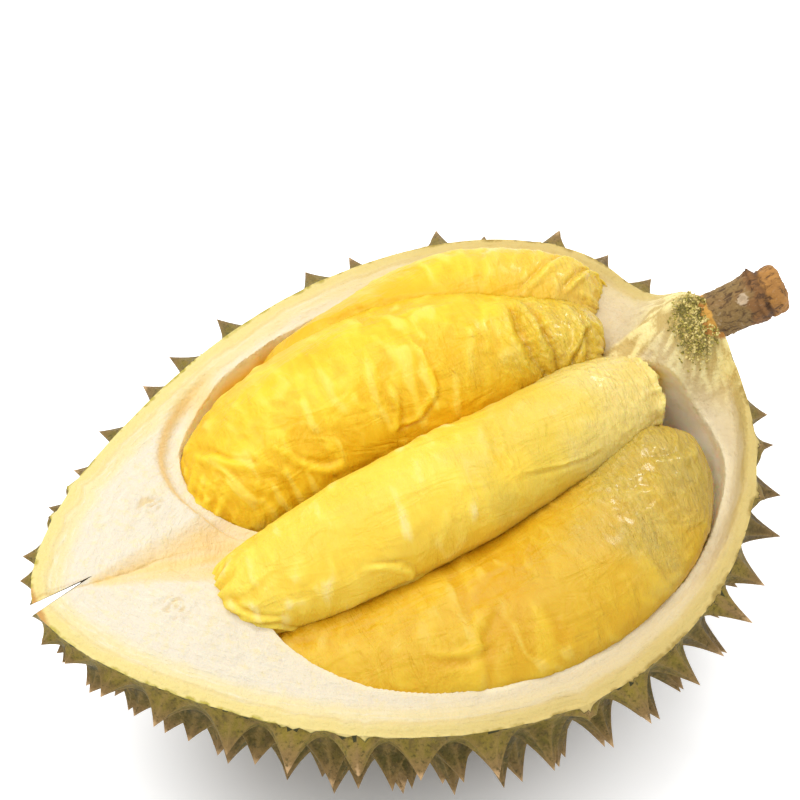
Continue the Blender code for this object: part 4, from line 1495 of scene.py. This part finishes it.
class DURIAN_OT_pods(bpy.types.Operator):
    """Four soft flesh pods, each pressed in by the one that lies on it"""
    bl_idname = "durian.pods"
    bl_label = "Flesh pods"

    def execute(self, context):
        look = settings().flesh
        pods = {pod.name: placed(pod.name + "_dressed", pod_mesh(pod, look)) for pod in PODS}
        for name, (upper, rise) in PRESSED_BY.items():
            drawn_up(pods[name].data, pods[upper].data, rise)
            carved(pods[name], [room_for(pods[upper].data)])
        for name, pod in pods.items():
            pod.data.materials.clear()
            pod.data.materials.append(flesh_finish(name + "_flesh", look, **FLESH_KINDS[name]))
            finished(pod, name, POD_SHARP)
        return {"FINISHED"}


# ---------------------------------------------------------------- stem
STEM_RINGS = 150
STEM_SEGMENTS = 120
STEM_SPAN = 0.048           # its length and girth, for patterns laid on its bark
STEM_GIRTH = 0.0095
FOOT_CAP = 0.04             # shares of the rings that close its two ends
END_CAP = 0.16
END_CORNER = 0.35           # how much of the end's radius its worn edge takes
COLLAR = 0.89               # where the old joint runs round it, as a share of its length
KNOT = (0.70, math.radians(122), 0.0018)    # place, angle and radius
NUB = (0.82, math.radians(48), 0.0022)      # place, angle and height
BARK_SKIM = 0.0003          # the bark lies this far inside the plain stem, before its relief


def stem_line(t):
    """Middle and radius of the stem at these shares of its length: two arcs that join smoothly."""
    line = np.column_stack((np.array(STEM_LINE), STEM_RADII))
    halfway = 0.5 * (line[1] + line[2])
    u = np.where(t < 0.5, 2.0 * t, 2.0 * t - 1.0)[:, None]
    first = line[0] * (1 - u) ** 2 + line[1] * (2 * u * (1 - u)) + halfway * u * u
    second = halfway * (1 - u) ** 2 + line[2] * (2 * u * (1 - u)) + line[3] * u * u
    both = np.where(t[:, None] < 0.5, first, second)
    return both[:, :3], both[:, 3]


def angle_between(angle, other):
    """The angle from one to the other, by the shorter way."""
    return np.angle(np.exp(1j * (angle - other)))


def bark_relief(look, t, angle):
    """Height of the bark: long ribs, scales, the sunken joint, a knot and a broken nub."""
    skin = np.stack((t * STEM_SPAN, STEM_GIRTH * np.cos(angle), STEM_GIRTH * np.sin(angle)), axis=1)
    ribs = lumps(skin * np.array((0.35, 1.0, 1.0)), 0.0040, 31)
    scales = 0.6 * lumps(skin, 0.0022, 32) + 0.35 * lumps(skin, 0.0011, 35)
    wander = 0.035 * lumps(skin * np.array((0.0, 1.0, 1.0)), 0.006, 36)
    joint = np.exp(-((t - COLLAR - wander) / 0.022) ** 2)
    joint = np.maximum(joint, 0.7 * np.exp(-((t - COLLAR + 0.09 - wander) / 0.014) ** 2))
    joint *= 0.35 + 0.65 * eased(lumps(skin, 0.010, 37), -0.5, 0.3)
    far = np.hypot((t - KNOT[0]) * STEM_SPAN, angle_between(angle, KNOT[1]) * STEM_GIRTH)
    knot = np.exp(-((far - KNOT[2]) / (0.45 * KNOT[2])) ** 2)
    knot = knot - 0.8 * np.exp(-(far / (0.6 * KNOT[2])) ** 2)
    nub = np.exp(-((t - NUB[0]) / 0.040) ** 2 - (angle_between(angle, NUB[1]) / 0.24) ** 2)
    swell = 0.0008 * np.exp(-((t - 0.80) / 0.09) ** 2)
    flakes = np.exp(-(t / 0.10) ** 2) * np.maximum(0.0, lumps(skin, 0.0028, 38))
    height = look.bark * (0.8 * ribs + scales - 1.8 * joint + 0.9 * knot + 2.0 * flakes)
    return height + swell + NUB[2] * nub, joint, np.exp(-(far / (1.5 * KNOT[2])) ** 2), nub


def stem_mesh(look):
    """The stem: its foot, its bark and its broken end."""
    part, angle, faces = closed_grid(STEM_RINGS, STEM_SEGMENTS)
    t = ramp(part, FOOT_CAP, 1.0 - END_CAP)
    into_foot = ramp(part, FOOT_CAP, 0.0)
    into_end = ramp(part, 1.0 - END_CAP, 1.0)
    centre, radius = stem_line(t)
    ahead = stem_line(np.minimum(t + 0.01, 1.0))[0] - stem_line(np.maximum(t - 0.01, 0.0))[0]
    ahead /= np.linalg.norm(ahead, axis=1)[:, None]
    side = np.cross((0.0, 0.0, 1.0), ahead)
    side /= np.linalg.norm(side, axis=1)[:, None]
    above = np.cross(ahead, side)
    relief, joint, knot, nub = bark_relief(look, t, angle)
    radius = radius - BARK_SKIM + relief * (1.0 - into_end)
    corner = 0.5 * math.pi * ramp(into_end, 0.0, END_CORNER)
    disc = ramp(into_end, END_CORNER, 1.0)
    reach = radius * (1.0 - END_CORNER + END_CORNER * np.cos(corner)) * (1.0 - disc) * (1.0 - into_foot)
    inner = np.stack((reach * np.cos(angle), reach * np.sin(angle), np.zeros_like(t)), axis=1)
    broken = 0.0007 * lumps(inner, 0.0035, 34) + 0.0004 * lumps(inner, 0.0014, 39)
    forward = (into_end > 0) * (broken * np.sin(corner) - 0.0009
                                - END_CORNER * radius * (1.0 - np.sin(corner)))
    forward = np.where(into_end > 0, forward, -(0.0009 + END_CORNER * radius) * ramp(t, 0.8, 1.0))
    points = (centre + side * (reach * np.cos(angle))[:, None]
              + above * (reach * np.sin(angle))[:, None] + ahead * forward[:, None])
    mesh = facing_out(mesh_from("stem", points, faces))
    note(mesh, "run", t)
    note(mesh, "end", disc)
    note(mesh, "joint", joint)
    note(mesh, "knot", knot)
    note(mesh, "nub", nub)
    return mesh


def bark_finish(look):
    """Bark: olive by the fruit, rusty past the old joint, dark in its cracks."""
    made = Finish("stem_bark", Roughness=0.72, Specular_IOR_Level=0.4)
    run = made.attribute("run")
    crack = made.grain(made.stretched(made.place, (0.45, 1.0, 1.0)), 0.0020, 5.0, 0.65, 0.6)
    cloud = made.grain(made.place, 0.009, 3.0, 0.6)
    tint = made.mix(made.smooth(run + (cloud - 0.5) * 0.5, 0.66, 0.80), look.olive, look.umber)
    tint = made.mix(made.smooth(run + (cloud - 0.5) * 0.3, 0.86, 0.93), tint, look.rust)
    tint = made.mix(made.smooth(cloud, 0.48, 0.66) * 0.35, tint, look.umber)
    tint = made.mix(made.smooth(crack, 0.52, 0.36) * 0.85, tint, look.crack)
    tint = made.mix(made.smooth(crack, 0.58, 0.74) * 0.5, tint, look.scuff)
    tint = made.mix(made.attribute("joint") * (0.6 + 0.5 * cloud), tint, look.crack)
    knot = made.smooth(made.attribute("knot") + (crack - 0.5) * 1.6, 0.45, 0.70)
    tint = made.mix(knot, tint, look.scuff)
    tint = made.mix(made.smooth(made.attribute("nub"), 0.45, 0.8) * 0.85, tint, look.crack)
    ring = made.smooth(run + (crack - 0.5) * 0.10 + (cloud - 0.5) * 0.12, 0.375, 0.350)
    tint = made.mix(ring, tint, look.ring)
    tint = made.mix(made.attribute("end") * 0.6, tint, look.umber)
    made.feed("Base Color", tint)
    made.feed("Roughness", 0.62 + 0.25 * crack)
    made.bump((crack, 0.0010), (made.grain(made.place, 0.0009, 3.0), 0.0003))
    return made.material


class DURIAN_OT_stem(bpy.types.Operator):
    """Woody stem stub with its bark and broken end"""
    bl_idname = "durian.stem"
    bl_label = "Stem"

    def execute(self, context):
        look = settings().stem
        mesh = stem_mesh(look)
        mesh.materials.append(bark_finish(look))
        finished(placed("stem_dressed", mesh), "stem")
        return {"FINISHED"}


# ---------------------------------------------------------------- stage
CAMERA_TURN = math.radians(-26.2)
CAMERA_RISE = math.radians(51.0)
CAMERA_DISTANCE = 0.95
CAMERA_LENS = 111.5
AIM_RIGHT = -0.0215         # where the lens points, from the fruit's axis
AIM_UP = 0.0180
PAINTED_FLOOR_GLOW = 0.5            # painted glow: the floor itself gives off light, though it is no lamp
PAINTED_SHADOW_CENTRE = (-0.02, -0.02)   # middle of a painted shadow: the floor's glow fades out under the fruit
# size of the painted shadow
PAINTED_SHADOW_REACH = (0.13, 0.085)
FLOOR_REACH = 3.0
SOFTBOX_PLACE = (-0.42, 0.12, 0.98)     # where each light stands, from the fruit's middle
SOFTBOX_SIZE = 0.7
BACK_LIGHT_PLACE = (0.42, 0.28, 0.90)
BACK_LIGHT_SIZE = 0.26


class DURIAN_OT_stage(bpy.types.Operator):
    """Pale floor with a painted glow and a painted shadow under the fruit, large soft light and the
    camera
    """
    bl_idname = "durian.stage"
    bl_label = "Stage"

    def execute(self, context):
        look = settings().stage
        scene = context.scene
        scene.view_settings.view_transform = "Standard"
        corners = FLOOR_REACH * np.array([(-1, -1, 0), (1, -1, 0), (1, 1, 0), (-1, 1, 0)], float)
        floor = placed("floor", mesh_from("floor", corners, [(0, 1, 2, 3)]))
        paper = Finish("floor_paper", Roughness=0.9, Emission_Strength=PAINTED_FLOOR_GLOW)
        paper.feed("Base Color", paper.mix(paper.grain(paper.place, 0.4), look.floor,
                                           [c * 0.99 for c in look.floor]))
        # Painted shadow: the floor's glow fades to black in an oval under the fruit.
        from_painted_shadow = paper.node("ShaderNodeVectorMath", {"operation": "SUBTRACT"}, {
            0: paper.place, 1: (*PAINTED_SHADOW_CENTRE, 0.0)})
        from_painted_shadow = paper.node("ShaderNodeVectorMath", {"operation": "DIVIDE"}, {
            0: from_painted_shadow, 1: (*PAINTED_SHADOW_REACH, 1.0)})
        apart = paper.node("ShaderNodeVectorMath", {"operation": "LENGTH"}, {0: from_painted_shadow},
                           output="Value")
        paper.feed("Emission Color", paper.mix(paper.smooth(apart, 0.35, 1.30), (0.0, 0.0, 0.0),
                                               (1.0, 1.0, 1.0)))
        floor.data.materials.append(paper.material)
        world = bpy.data.worlds.new("studio")
        world.use_nodes = True
        backdrop = world.node_tree.nodes["Background"]
        backdrop.inputs["Color"].default_value = (1.0, 1.0, 1.0, 1.0)
        backdrop.inputs["Strength"].default_value = look.fill
        scene.world = world
        back = Vector((math.sin(CAMERA_TURN) * math.cos(CAMERA_RISE),
                       -math.cos(CAMERA_TURN) * math.cos(CAMERA_RISE), math.sin(CAMERA_RISE)))
        right = Vector((math.cos(CAMERA_TURN), math.sin(CAMERA_TURN), 0.0))
        up = back.cross(right)
        centre = Vector(FRUIT_AXIS)
        lens = bpy.data.cameras.new("camera")
        lens.lens = CAMERA_LENS
        lens.clip_start, lens.clip_end = 0.05, 20.0
        camera = placed("camera", lens)
        camera.location = centre + back * CAMERA_DISTANCE
        away = (camera.location - centre - right * AIM_RIGHT - up * AIM_UP).normalized()
        side = up.cross(away).normalized()
        camera.rotation_euler = Matrix((side, away.cross(side), away)).transposed().to_euler()
        scene.camera = camera
        self.lamp("softbox", centre, Vector(SOFTBOX_PLACE), SOFTBOX_SIZE, look.key)
        self.lamp("back_light", centre, Vector(BACK_LIGHT_PLACE), BACK_LIGHT_SIZE, look.glint)
        return {"FINISHED"}

    def lamp(self, name, centre, away, size, power):
        """A square soft light that faces the fruit."""
        light = bpy.data.lights.new(name, "AREA")
        light.size, light.energy = size, power
        made = placed(name, light)
        made.location = centre + away
        made.rotation_euler = (-away).to_track_quat("-Z", "Y").to_euler()


class DURIAN_PT_panel(bpy.types.Panel):
    """Lists the pieces of the opened durian"""
    bl_idname = "DURIAN_PT_panel"
    bl_label = "Opened durian"
    bl_space_type = "VIEW_3D"
    bl_region_type = "UI"
    bl_category = "Durian"

    def draw(self, context):
        for maker in MAKERS:
            self.layout.operator(maker.bl_idname)
        for title in ("husk", "flesh", "stem", "stage"):
            box = self.layout.box()
            group = getattr(context.scene.durian, title)
            for name in group.bl_rna.properties.keys():
                if name not in ("rna_type", "name"):
                    box.prop(group, name)


GROUPS = (DurianHusk, DurianFlesh, DurianStem, DurianStage, DurianSettings)
MAKERS = (DURIAN_OT_husk, DURIAN_OT_pods, DURIAN_OT_stem, DURIAN_OT_stage)


def register():
    """Adds the settings, the operators and the panel to Blender."""
    for made in (*GROUPS, *MAKERS, DURIAN_PT_panel):
        bpy.utils.register_class(made)
    bpy.types.Scene.durian = PointerProperty(type=DurianSettings)


def unregister():
    """Takes the panel, the operators and the settings out of Blender again."""
    del bpy.types.Scene.durian
    for made in reversed((*GROUPS, *MAKERS, DURIAN_PT_panel)):
        bpy.utils.unregister_class(made)


def main():
    """Builds every piece and the stage."""
    register()
    for maker in MAKERS:
        group, name = maker.bl_idname.split(".")
        getattr(getattr(bpy.ops, group), name)()


if __name__ == "__main__":
    main()
